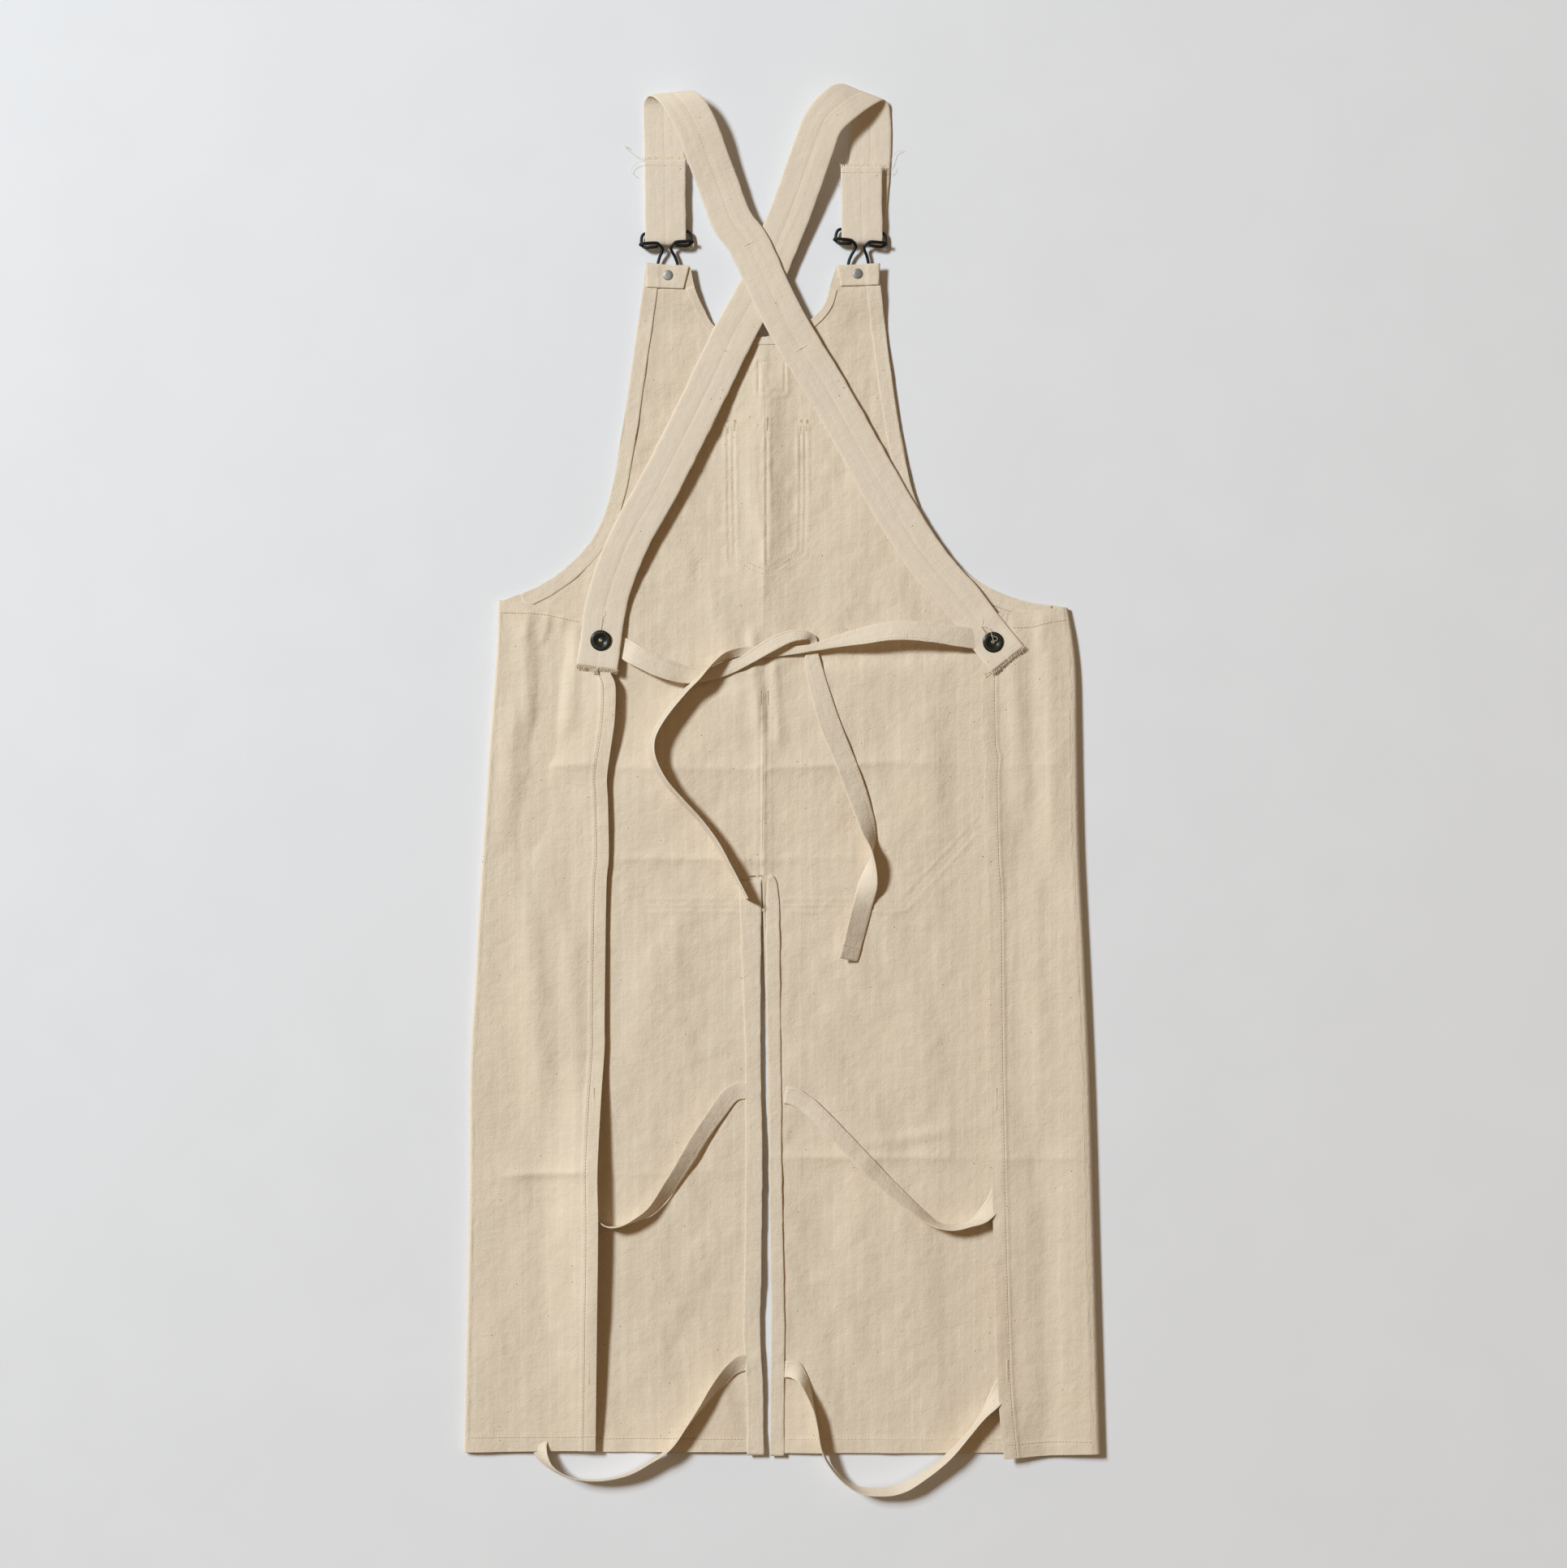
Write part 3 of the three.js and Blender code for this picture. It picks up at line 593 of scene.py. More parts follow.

# Each cord's wing, the points where it would start to follow that wing and follow it wholly, and its far end's
# kind; these are read below but not used, so no cord follows its wing.
CORD_BLEND = {
    "waist_tie_left": ("wing_left", (-60, 92, 0), (-148, 112, 0), "bare"),
    "waist_tie_right": ("wing_right", (70, 125, 0), (181, 122, 0), "bare"),
    "leg_tape_upper_left": ("wing_left", (-60, -310, 0), (-168, -310, 0), "object"),
    "leg_tape_upper_right": ("wing_right", (60, -330, 0), (190, -330, 0), "object"),
    "leg_tape_lower_left": ("wing_left", (-70, -600, 0), (-172, -600, 0), "object"),
    "leg_tape_lower_right": ("wing_right", (70, -600, 0), (194, -600, 0), "object"),
}


# ---------------------------------------------------------------- outlines

LEFT_EDGE = [
    (-293.3, -628), (-291, -532), (-289.5, -457), (-288, -382), (-287.3, -270), (-282.8, -195), (-279, -120),
    (-273.8, -45),
    (-269.3, 30), (-263.3, 105), (-260.5, 156),
]
LEFT_ARMHOLE = [
    (-260.5, 156), (-223, 172), (-193, 194), (-172, 220), (-158, 258), (-147, 318), (-136, 394),
    (-128.5, 444), (-125.5, 466),
]
RIGHT_EDGE = [
    (292.5, -629), (288.5, -490), (284.5, -340), (282, -262), (278, -170), (273.8, -82), (272.3, -26),
    (271.2, 37),
    (270.5, 90), (267.5, 122), (262, 151),
]
RIGHT_ARMHOLE = [
    (262, 151), (221, 157.5), (181, 175), (150, 205), (123, 251), (108, 318), (97, 394), (91, 446),
    (89.5, 466),
]
NECK_LEFT = [(-16, 400.5), (-38, 402), (-61.5, 409.5), (-75, 432), (-81, 447), (-85, 466)]
NECK_RIGHT = [(-16, 400.5), (8, 403), (28, 418), (39, 431), (44, 447), (50, 466)]
SLIT_LEFT = [
    (-16.7, -628), (-17.3, -570), (-20.6, -517), (-19.5, -457), (-17.8, -352), (-18.2, -308), (-20, -262),
    (-19.6, -180), (-18.8, -103),
]
SLIT_RIGHT = [
    (-11.0, -629), (-11, -570), (-10.1, -517), (-10.6, -457), (-12.6, -352), (-14, -308), (-13.9, -262),
    (-16.4, -180), (-18.4, -103),
]
SLIT_TOP = -98


def rise(y):
    """How far the bib's cloth is lifted at its corners by the buckles' wires and buttons."""
    return 5.1 * smoothstep(404, 446, y)


CREASES = [
    # from, to, height, width, sharp
    ((-15.8, 372), (-16.5, 158), 4.2, 16, True),
    ((8, 350), (8, 180), -1.2, 16, False),
    ((-172, 4), (-22, 2), 1.7, 8, True),
    ((-20, 2), (108, 9), 2.4, 7, True),
    ((108, 8), (186, 4), 1.4, 8, True),
    ((-160, -80), (-4, -82), 2.0, 7, True),
    ((-3, -81), (68, -79), 1.0, 8, True),
    ((0, -356), (192, -357), 2.2, 6, True),
    ((78, -344), (195, -326), 1.3, 6, False),
    ((-160, -372), (-40, -368), 0.8, 8, True),
    ((-19, 88), (-17, -98), 1.2, 6, False),
    ((-28, 130), (-22, 40), 2.6, 6, False),
    ((-8, 104), (-3, 22), 2.2, 6, False),
    ((-60, 160), (-38, 60), 1.0, 10, False),
    ((-104, 80), (-40, 84), -2.2, 9, False),
    ((16, 103), (172, 112), -2.6, 9, False),
    ((40, 170), (64, 60), 0.9, 12, False),
    ((-130, 60), (-96, -40), 1.3, 14, False),
    ((130, 90), (156, -60), 1.1, 16, False),
    ((-120, -170), (-150, -300), 1.0, 14, False),
    ((60, -150), (120, -260), 0.9, 16, False),
    ((-70, -440), (-130, -560), 1.0, 15, False),
    ((60, -470), (150, -590), 0.9, 16, False),
    ((-60, 380), (-96, 300), 0.9, 10, False),
    ((60, 360), (80, 250), 0.8, 10, False),
]


# Stitch lines of the front pockets, the label and the hems, which show on this side of the panel.
SEAMS = (
    [[(x, 317), (x + 0.4, 260), (x + 1.2, 198)] for x in (-50.3, -45.2)]
    + [[(x, 317), (x + 0.4, 260), (x - 0.8, 202)] for x in (16.5, 21.0)]
    + [[(-14.3, 324), (-14.3, 187)], [(-49, 196), (-12, 181.5), (20, 201)]]
    + [[(-45, 199.5), (-12, 186), (16, 203)]]
    + [[(x, 73), (x, 0), (x - 0.3, -100)] for x in (-20.3, -13.6)]
    + [[(-126, y), (-60, y + 0.5), (-30, y)] for y in (-121.5, -127)]
    + [[(2, y), (60, y + 0.4), (109.5, y)] for y in (-121.5, -127)]
    + [[(109.5, -122), (150, -79), (183, -44)], [(113, -125.5), (152, -84), (184, -49)]]
    + [[(-126, -122), (-142.5, -108), (-152, -99)], [(-129, -126), (-146, -112)]]
    + [[(-21.8, y), (2.3, y)] for y in (377, 349)]
    + [[(x, 349), (x, 377)] for x in (-21.8, 2.3)]
)


def seam_relief(x, y):
    """Cloth drawn down along each stitch line and puffed a little on both sides of it."""
    x, y = np.asarray(x, float), np.asarray(y, float)
    near = np.full(x.shape, 50.0)
    for line in SEAMS:
        for a, b in zip(line[:-1], line[1:]):
            a, b = np.array(a, float), np.array(b, float)
            way = b - a
            t = np.clip(((x - a[0]) * way[0] + (y - a[1]) * way[1]) / (way @ way), 0, 1)
            near = np.minimum(near, np.hypot(x - a[0] - t * way[0], y - a[1] - t * way[1]))
    pucker = 1 + 0.8 * noise(x, y, 6, 6, 12)
    return 0.42 * pucker * np.exp(-(((near - 2.6) / 1.9) ** 2)) - 0.30 * np.exp(-((near / 1.1) ** 2))


PANEL_LEVEL = 2.5  # of the panel's middle surface where it is flat
MEAN_SWELL = 1.2
PANEL_LIMITS = (0.95, 7)  # it neither sinks into the pockets nor lifts higher than this


def wrinkles(x, y):
    """The panel's soft swells, large to small, and its pressed creases."""
    x, y = np.asarray(x, float), np.asarray(y, float)
    soft = 1.5 * noise(x, y, 46, 84, 1) + 0.95 * noise(x + 0.3 * y, y, 24, 42, 2)
    soft = soft + 0.33 * noise(x, y, 11, 15, 3)
    folds = sum(ridge(x, y, a, b, h, w, s) for a, b, h, w, s in CREASES)
    return soft, folds


def panel_height(x, y):
    """Height of the panel's middle surface, in millimetres."""
    soft, folds = wrinkles(x, y)
    # The cloth swells freely between the wings and on the bib, and is pressed flat under the wings.
    open_back = smoothstep(172, 135, np.abs(np.asarray(x, float)))
    bib = smoothstep(140, 190, y)
    freedom = np.maximum(open_back, bib)
    # Near the buckles it is drawn smooth.
    quiet = 1 - 0.7 * smoothstep(395, 430, y)
    z = PANEL_LEVEL + (MEAN_SWELL + soft) * freedom * quiet + folds * np.maximum(freedom, 0.25) * quiet
    slit = 1.3 * np.exp(-np.abs(x + 21) / 12) * smoothstep(-96, -112, y) * (x < -14.5)
    return np.clip(z + slit - 0.35, *PANEL_LIMITS) + seam_relief(x, y) * quiet + rise(y)


def resting(path, across, width, thickness, ground, gap=0.15):
    """The path lifted just enough for its band to lie on the ground instead of in it."""
    normal = unit(np.cross(across, np.gradient(path, axis=0)))
    half = np.broadcast_to(np.asarray(width, float), (len(path),)) / 2
    below = np.abs(normal[:, 2]) * thickness / 2 + gap
    lift = np.zeros(len(path))
    for share in (-1, -0.5, 0, 0.5, 1):
        p = path + across * (half * share)[:, None]
        lift = np.maximum(lift, ground(p[:, 0], p[:, 1]) + below - p[:, 2])
    wide = np.array([lift[max(0, k - 3) : k + 4].max() for k in range(len(lift))])
    kernel = np.hanning(9)[1:-1]
    smooth = np.convolve(np.pad(wide, 3, mode="edge"), kernel / kernel.sum(), mode="valid")
    return path + smooth[:, None] * np.array([0, 0, 1.0])


def panel_top(x, y):
    """The ground under a cord: the panel's upper face, the slit's edges, or the table beyond the hem."""
    x, y = np.asarray(x, float), np.asarray(y, float)
    cloth_top = panel_height(x, y) + 0.5
    return np.where(y > -629, cloth_top, 0.05)


CORD_SETS = [(TIES, TIE_WIDTH, 1.3), (LEG_TAPES, LEG_TAPE_WIDTH, 1.2)]  # routes, width, thickness
FREE_HEM_ROWS = 7  # rows from a tie's free end to the stitches of its hem


def hem_stitches(sewn, surface, normal, thickness):
    """The stitches across a tie's free end, on both of its faces."""
    turn = len(normal) - FREE_HEM_ROWS
    ends = [surface(side)[turn] for side in (-0.95, 0.95)]
    for depth, outward in ((0, 1), (-2 * thickness * 0.49, -1)):
        lift = normal[turn] * (depth + 0.15 * outward)
        sewn.row([e + lift for e in ends], normal[turn] * outward, pitch=2.0)


for routes, width, thickness in CORD_SETS:
    for name, route in routes.items():
        path, across, widths = ribbon_rows(followed(route, width), 2.0)
        path = resting(path, across, widths, thickness, panel_top)
        wing, start, stop, far_end = CORD_BLEND[name]
        shape = dict(seam=-0.7, wobble=0.25, seed=len(name))
        obj, surface, normal = band(
            name + "_cloth", path, across, widths, thickness, tape_cloth, None, **shape
        )
        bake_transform(obj)
        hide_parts(name)
        length = float(np.linalg.norm(np.diff(path, axis=0), axis=1).sum())
        sewn = Stitches()
        if routes is TIES:
            hem_stitches(sewn, surface, normal, thickness)
        sewn.row(surface(-0.72), normal, pitch=2.9, radius=0.22)
        sewn.row(surface(0.72) - 2 * normal * thickness * 0.49, -normal, pitch=2.9, radius=0.22)
        seam = sewn.make(name + "_stitches", None)
        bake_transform(seam)


def edge_rows(curves, counts):
    """Rows along curves that follow each other, with the given count on each."""
    runs = [spline(p, count=c) for p, c in zip(curves, counts)]
    return np.vstack([runs[0]] + [run[1:] for run in runs[1:]])


def hem_columns(span, fine=22, coarse=1.9):
    """Shares from 0 to 1 across a span in millimetres, closer together within `fine` of its sewn edges."""
    near = np.array([0, 0.5, 1.2, 2.2, 3.4, 5, 7, 9, 10.5, 11.4, 12.2, 13, 14, 16, 19, fine])
    middle = np.arange(fine, span - fine, coarse)[1:]
    far = span - near[::-1]
    return np.unique(np.clip(np.concatenate([near, middle, far]), 0, span)) / span


def half_panel(side):
    """Grid of x, y rows for one half of the panel, from its outer edge to its middle line or slit."""
    left = side == "left"
    edge, armhole = (LEFT_EDGE, LEFT_ARMHOLE) if left else (RIGHT_EDGE, RIGHT_ARMHOLE)
    slit, neck = (SLIT_LEFT, NECK_LEFT) if left else (SLIT_RIGHT, NECK_RIGHT)
    inset = 9.0 if left else -9.0
    skirt = [(x + inset, y) for x, y in edge[:-1]]
    split = next(i for i, (x, y) in enumerate(skirt) if y > -130)
    shoulder = armhole[0]
    waist = skirt[split:] + [(shoulder[0] + inset * 0.4, shoulder[1] - 4), shoulder]
    counts = [270, 130, 130, 56]  # skirt below the slit's top, waist, bib, bib corner
    outer = edge_rows([skirt[: split + 1], waist, armhole[:6], armhole[5:]], counts)
    crotch = (-18.6, SLIT_TOP)
    middle_low = [crotch, (-17, 40), (-16.5, 150)]
    middle_high = [(-16.5, 150), (-16, 300), (-16, 400.5)]
    inner = edge_rows([slit + [crotch], middle_low, middle_high, neck], counts)
    both = evenly_paired(outer, inner)
    outer, inner = both[:, :2], both[:, 2:]
    share = hem_columns(250)[None, :, None]
    return outer[:, None, :] * (1 - share) + inner[:, None, :] * share


def hem_relief(y):
    """The turned hem along the bottom, and its stitch line."""
    up = y + 628.5
    return 0.55 * smoothstep(14.6, 13.2, up) - 0.28 * np.exp(-(((up - 12.6) / 0.9) ** 2))


CLOTH_THICKNESS = 0.9
for side in ("left", "right"):
    flat = half_panel(side)
    rows = flat.shape[0]
    # Finer rows at the hem, where the cloth is turned up.
    at = np.concatenate([np.linspace(0, 4, 26), np.arange(5, rows)])
    flat = finer_rows(flat, at)
    x, y = flat[..., 0], flat[..., 1]
    z = panel_height(x, y) + hem_relief(y) * 0.5
    grid = np.stack([x, y, z], -1)
    if side == "right":
        grid = grid[:, ::-1]
    obj = slab("panel_" + side, grid, CLOTH_THICKNESS + hem_relief(grid[..., 1]), cloth, "apron")
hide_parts("body_panel")

# ---------------------------------------------------------------- wings

LEFT_WING_EDGE = [
    (-171.8, -626), (-170.3, -525), (-168.8, -420), (-169.5, -370), (-166.5, -301), (-163.5, -254),
    (-163.5, -225),
    (-162, -112), (-159.8, -82), (-159.8, -57), (-160.5, -26), (-161.3, -7.5), (-159, 12), (-154.5, 42),
    (-153, 66),
    (-153.8, 81), (-159, 94), (-156, 116), (-151, 136.5),
]
RIGHT_WING_EDGE = [
    (204, -633), (198, -562), (193.5, -397), (191, -250), (189.8, -120), (187.5, -82), (186, -11), (187, 12),
    (184.3, 27.8),
    (184.1, 101), (188, 122), (193.5, 144.8),
]
# roll is the fold's radius along y. lift is how far the inner edge is raised along y.
WINGS = {
    "left": {
        "outer": [(x, y) for x, y in LEFT_EDGE[:-1]] + [(-261.5, 157.5)],
        "inner": LEFT_WING_EDGE,
        "roll": [(-628, 2.3), (-400, 2.4), (-100, 2.3), (40, 2.4), (120, 2.2), (160, 1.9)],
        "lift": [
            (-628, 4), (-560, 8), (-500, 12), (-420, 14), (-370, 13), (-310, 7), (-270, 2.2), (-200, 1.6),
            (-80, 1.8), (-20, 3), (20, 6), (55, 9), (80, 8), (98, 3.5), (115, 1.2), (140, 0.5),
        ],
    },
    "right": {
        "outer": [(x, y) for x, y in RIGHT_EDGE[:-1]] + [(262.5, 150.5)],
        "inner": RIGHT_WING_EDGE,
        "roll": [(-633, 4.6), (-400, 4.4), (-100, 4.2), (40, 4.0), (120, 3.2), (160, 2.4)],
        "lift": [
            (-633, 6), (-560, 5), (-400, 3), (-200, 2.5), (-20, 3), (60, 4), (100, 3), (125, 1), (150, 0.5),
        ],
    },
}
WING_CREASES = {
    "left": [
        ((-222, 4), (-172, 7), 2.4, 7, True), ((-252, -372), (-184, -369), 3.0, 6, True), ((-206, 124),
        (-224, 10), -4.0, 11, False),
        ((-190, 128), (-198, 40), 2.6, 8, False), ((-240, 140), (-232, 40), 2.6, 9, False), ((-250, 60),
        (-260, -60), 2.0, 10, False),
        ((-218, 20), (-236, -76), -2.6, 10, False), ((-236, -120), (-222, -320), 2.4, 13, False),
        ((-196, -140), (-188, -340), 1.8, 10, False),
        ((-236, -400), (-226, -600), 1.2, 16, False), ((-200, -400), (-212, -520), 0.9, 10, False),
        ((-262, 0), (-214, -8), 0.7, 6, True),
        ((-216, 144), (-220, 118), 1.3, 4, False), ((-204, 142), (-206, 116), 1.1, 4, False), ((-232, 148),
        (-236, 122), 1.0, 4, False),
    ],
    "right": [
        ((196, -357), (282, -356), 1.4, 7, True), ((214, 124), (222, -40), 2.4, 10, False), ((246, 130),
        (250, -80), 2.2, 12, False),
        ((230, -100), (238, -320), 2.2, 13, False), ((226, -400), (232, -600), 2.2, 15, False), ((258, -380),
        (262, -600), 1.0, 12, False),
        ((200, 4), (262, 6), 0.8, 7, True), ((240, 144), (238, 112), 1.2, 5, False),
    ],
}
HEM = 14.5  # the wings' turned edges


def wing_grid(side):
    """Points of a wing from the panel's edge, round the fold and over to its hemmed inner edge, and where each
    lies in the weave."""
    spec = WINGS[side]
    sign = 1 if side == "left" else -1  # inwards
    rows = 400
    outer, inner = spline(spec["outer"], count=rows), spline(spec["inner"], count=rows)
    roll = table(outer[:, 1], spec["roll"])
    lift = table(inner[:, 1], spec["lift"])
    # Across: the strip that stays on the table, the roll, and the upper layer to its inner edge.
    strip = np.array([9.0, 7.4, 5.8])
    angles = np.linspace(0, 180, 15)
    span = np.abs(inner[:, 0] - outer[:, 0])
    near = np.array([0, 0.45, 1.2, 2.4, 4, 6, 8, 9.6, 10.6, 11.4, 12.2, 13, 13.8, 14.6, 15.6, 17.5, 20])[::-1]
    base = 1.55
    columns, flat = [], []
    for d in strip:
        share = np.clip((d - 5.8) / 3.2, 0, 1)
        z = base * (1 - share) + (panel_height(outer[:, 0] + sign * 9, outer[:, 1]) + 0.02) * share
        columns.append(np.column_stack([outer[:, 0] + sign * d, outer[:, 1], z]))
        flat.append(np.column_stack([outer[:, 0] + sign * d, outer[:, 1]]))
    for a in np.radians(angles):
        x = outer[:, 0] + sign * (roll - roll * np.sin(a) + (5.8 - roll) * (1 - np.sin(a)) * (a < np.pi / 2))
        z = base + roll * (1 - np.cos(a))
        columns.append(np.column_stack([x, outer[:, 1], z]))
        flat.append(np.column_stack([outer[:, 0] - sign * roll * a, outer[:, 1]]))
    steps = np.concatenate([np.array([2.5, 5, 8, 12, 16]), np.arange(18.5, span.min() - 20.5, 2.1)])
    stations = [("near", d) for d in steps] + [("inner", d) for d in near]
    crease = lambda x, y: sum(ridge(x, y, a, b, h, w, s) for a, b, h, w, s in WING_CREASES[side])
    for kind, d in stations:
        share = 1 - d / span
        if kind == "near":
            share = (roll + d * (span - roll - 21.8) / steps[-1]) / span
        x = outer[:, 0] + (inner[:, 0] - outer[:, 0]) * share
        y = outer[:, 1] + (inner[:, 1] - outer[:, 1]) * share**1.3
        from_fold, from_edge = np.abs(x - outer[:, 0]), span * (1 - share)
        top = base + 2 * roll
        settle = smoothstep(0, 55, from_fold)
        z = top * (1 - settle) + 5.3 * settle
        inside = smoothstep(0, 24, from_fold)
        swells = 0.5 + 1.0 * noise(x, y, 34, 70, 5) + 0.45 * noise(x + 0.2 * y, y, 17, 36, 6)
        z = z + inside * (swells + 0.15 * noise(x, y, 9, 13, 7) + crease(x, y))
        reach = np.minimum(span * 0.55, 60)
        z = z + lift * smoothstep(0, 1, np.clip(1 - from_edge / reach, 0, 1)) ** 1.3
        edge_stitch = 0.28 * np.exp(-(((from_edge - HEM + 3) / 0.9) ** 2))
        z = z + 0.5 * smoothstep(HEM + 1, HEM - 0.5, from_edge) - edge_stitch
        up = y + (626 if side == "left" else 631)
        z = z + 0.45 * smoothstep(15, 13.4, up) - 0.25 * np.exp(-(((up - 12.4) / 0.9) ** 2))
        top_gap = outer[-1, 1] + (inner[-1, 1] - outer[-1, 1]) * share**1.3 - y
        top_stitch = 0.28 * np.exp(-(((top_gap - 11.8) / 1.0) ** 2)) * (top_gap < 16)
        z = z + 0.5 * smoothstep(14.5, 12.6, top_gap) - top_stitch
        z = np.maximum(z, 4.75)
        columns.append(np.column_stack([x, y, z]))
        flat.append(np.column_stack([x, y]))
    return np.stack(columns, 1), np.stack(flat, 1)


wing_surfaces = {}
for side in ("left", "right"):
    grid, flat = wing_grid(side)
    # Finer rows at the bottom hem and at the top hem.
    rows = grid.shape[0]
    at = np.concatenate([np.linspace(0, 5, 24), np.arange(6, rows - 6), np.linspace(rows - 6, rows - 1, 22)])
    grid, flat = finer_rows(grid, at), finer_rows(flat, at)
    wing_surfaces[side] = grid
    if side == "left":
        grid, flat = grid[:, ::-1], flat[:, ::-1]
    obj = slab("wing_cloth_" + side, grid, CLOTH_THICKNESS, cloth, None, uv=flat)
    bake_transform(obj)
    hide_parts("wing_" + side)
    wide = 0.135 if side == "left" else 0.100


def wing_height(side, x, y):
    """Height of a wing's upper layer at points, by the nearest grid vertex."""
    grid = wing_surfaces[side][:, 18:].reshape(-1, 3)
    x, y = np.atleast_1d(x), np.atleast_1d(y)
    out = []
    for a, b in zip(x, y):
        d = (grid[:, 0] - a) ** 2 + (grid[:, 1] - b) ** 2
        nearest = np.argpartition(d, 4)[:4]
        weight = 1 / (d[nearest] + 0.05)
        out.append(float((grid[nearest, 2] * weight).sum() / weight.sum()))
    return np.array(out)


# ---------------------------------------------------------------- facings and patches


def on_panel(points, above, spacing=3.0):
    """A line drawn on the panel, raised above its middle surface."""
    p = evenly(points, spacing=spacing) if len(points) == 2 else spline(points, spacing=spacing)
    return np.column_stack([p[:, 0], p[:, 1], panel_height(p[:, 0], p[:, 1]) + above])


def flat_across(path):
    """The level direction square to a path."""
    t = np.gradient(path[:, :2], axis=0)
    return unit(np.column_stack([t[:, 1], -t[:, 0], np.zeros(len(t))]))


def offset_line(points, distance, spacing=3.0):
    """A smooth line beside the given one."""
    p = spline(points, spacing=spacing)
    t = np.gradient(p, axis=0)
    n = np.column_stack([-t[:, 1], t[:, 0]]) / np.linalg.norm(t, axis=1, keepdims=True)
    return p + n * distance


seams = Stitches()


def seam_on_panel(points, above=0.55, **how):
    seams.row(on_panel(points, above, 1.5), **how)


FACINGS = {
    # node: outline, the side of it that is cloth, width
    "armhole_facing_left": (LEFT_ARMHOLE, -1, 13.5),
    "armhole_facing_right": (RIGHT_ARMHOLE, 1, 13.0),
    "neckline_facing": (list(reversed(NECK_LEFT[1:])) + NECK_RIGHT, -1, 7.5),
}
for node, (outline, side, width) in FACINGS.items():
    line = offset_line(outline, side * (width / 2 + 0.1), 2.2)
    below_patch = 446 if node == "neckline_facing" else 452
    inside_wing = 240 if node.endswith("left") else 250
    line = line[(line[:, 1] < below_patch) & (np.abs(line[:, 0]) < inside_wing)]
    path = np.column_stack([line, panel_height(line[:, 0], line[:, 1]) + 0.75])
    shape = dict(wobble=0.3, seed=4)
    obj, _, _ = band(
        node + "_cloth", path, flat_across(path), width, CLOTH_THICKNESS, trim_cloth, "apron", **shape
    )
    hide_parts(node)
    for share in (-0.66, 0.72) if node != "neckline_facing" else (0.62,):
        line = path + flat_across(path) * width / 2 * share + np.array([0, 0, 0.46])
        seams.row(line, pitch=3.0)

# Slit facings: rounded strips of folded cloth along both sides of the slit.
left_strip = [
    (-29.6, -101), (-28.6, -180), (-27.0, -262), (-26.6, -308), (-26.0, -352), (-27, -457), (-28, -517),
    (-25.4, -570), (-24.6, -630.5),
]
right_strip = [
    (-12.2, -97), (-9.5, -103), (-8.6, -140), (-8.6, -180), (-7.5, -262), (-6.6, -308), (-6.6, -352),
    (-4.8, -457), (-3.9, -517), (-4.6, -570), (-4.8, -631.5),
]
left_widths = [(-640, 15.5), (-352, 16), (-262, 14.5), (-180, 18), (-101, 21)]
right_widths = [(-640, 13.2), (-457, 12), (-262, 12.5), (-180, 13.5), (-120, 12), (-103, 9), (-96, 4)]
for node, strip, widths in (
    ("slit_facing_left", left_strip, left_widths),
    ("slit_facing_right", right_strip, right_widths),
):
    p = spline(strip, spacing=2.4)
    path = np.column_stack([p, np.maximum(panel_height(p[:, 0], p[:, 1]) + 1.25, 2.3)])
    wide = table(p[:, 1], widths)
    shape = dict(wobble=0.35, seed=6)
    obj, _, _ = band(node + "_cloth", path, flat_across(path), wide, 1.7, trim_cloth, "apron", **shape)
    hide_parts(node)
    outward = -1 if node.endswith("left") else 1
    away = flat_across(path)
    away *= np.sign(away[:, :1]) * outward
    seams.row(path + away * (wide[:, None] / 2 - 2.2) + np.array([0, 0, 0.86]), pitch=3.0)

# The corner patches that the tacks hold.
for side, corners in {
    "left": [(-125.4, 445.2), (-90.5, 444), (-85.6, 464), (-125.8, 468)],
    "right": [(54.0, 446.5), (89.5, 447.5), (90, 467.5), (50.0, 465.5)],
}.items():
    low_left, low_right, high_right, high_left = map(np.array, corners)
    u, v = np.meshgrid(np.linspace(0, 1, 24), np.linspace(0, 1, 18))
    xy = (low_left * (1 - v[..., None]) + high_left * v[..., None]) * (1 - u[..., None]) + (
        low_right * (1 - v[..., None]) + high_right * v[..., None]
    ) * u[..., None]
    edge = np.minimum(np.minimum(u, 1 - u) * 34, np.minimum(v, 1 - v) * 22)
    under = smoothstep(-111.5, -114, xy[..., 0]) if side == "left" else smoothstep(76, 78.5, xy[..., 0])
    z = panel_height(xy[..., 0], xy[..., 1]) + 0.55 * under + 0.85 + 0.25 * smoothstep(0, 2.0, edge)
    z = z + 0.25 * noise(xy[..., 0], xy[..., 1], 9, 7, 8)
    tack_x, tack_y = {"left": (-105.2, 456.4), "right": (69.4, 457.9)}[side]
    z = z - 0.45 * np.exp(-(((xy[..., 0] - tack_x) ** 2 + (xy[..., 1] - tack_y) ** 2) / 55))
    grid = np.concatenate([xy, z[..., None]], -1)
    obj = slab("corner_patch_cloth_" + side, grid, CLOTH_THICKNESS, trim_cloth, "apron")
    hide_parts("bib_corner_patch_" + side)
    line = evenly([low_left + [1.5, 2.6], low_right + [-1.5, 2.6]], spacing=2)
    seams.row(np.column_stack([line, panel_height(line[:, 0], line[:, 1]) + 1.5]), pitch=2.8)

# Stitching of the front pockets, which shows through on the back.
for line in SEAMS:
    seam_on_panel(line, pitch=2.2 if min(p[1] for p in line) > 340 else 3.1)
hem_left = [(-168, -616), (-100, -615.6), (-34, -616)]
hem_right = [(2.5, -616.2), (100, -616.4), (204, -617)]
seam_on_panel(hem_left, 1.08)
seam_on_panel(hem_right, 1.08)

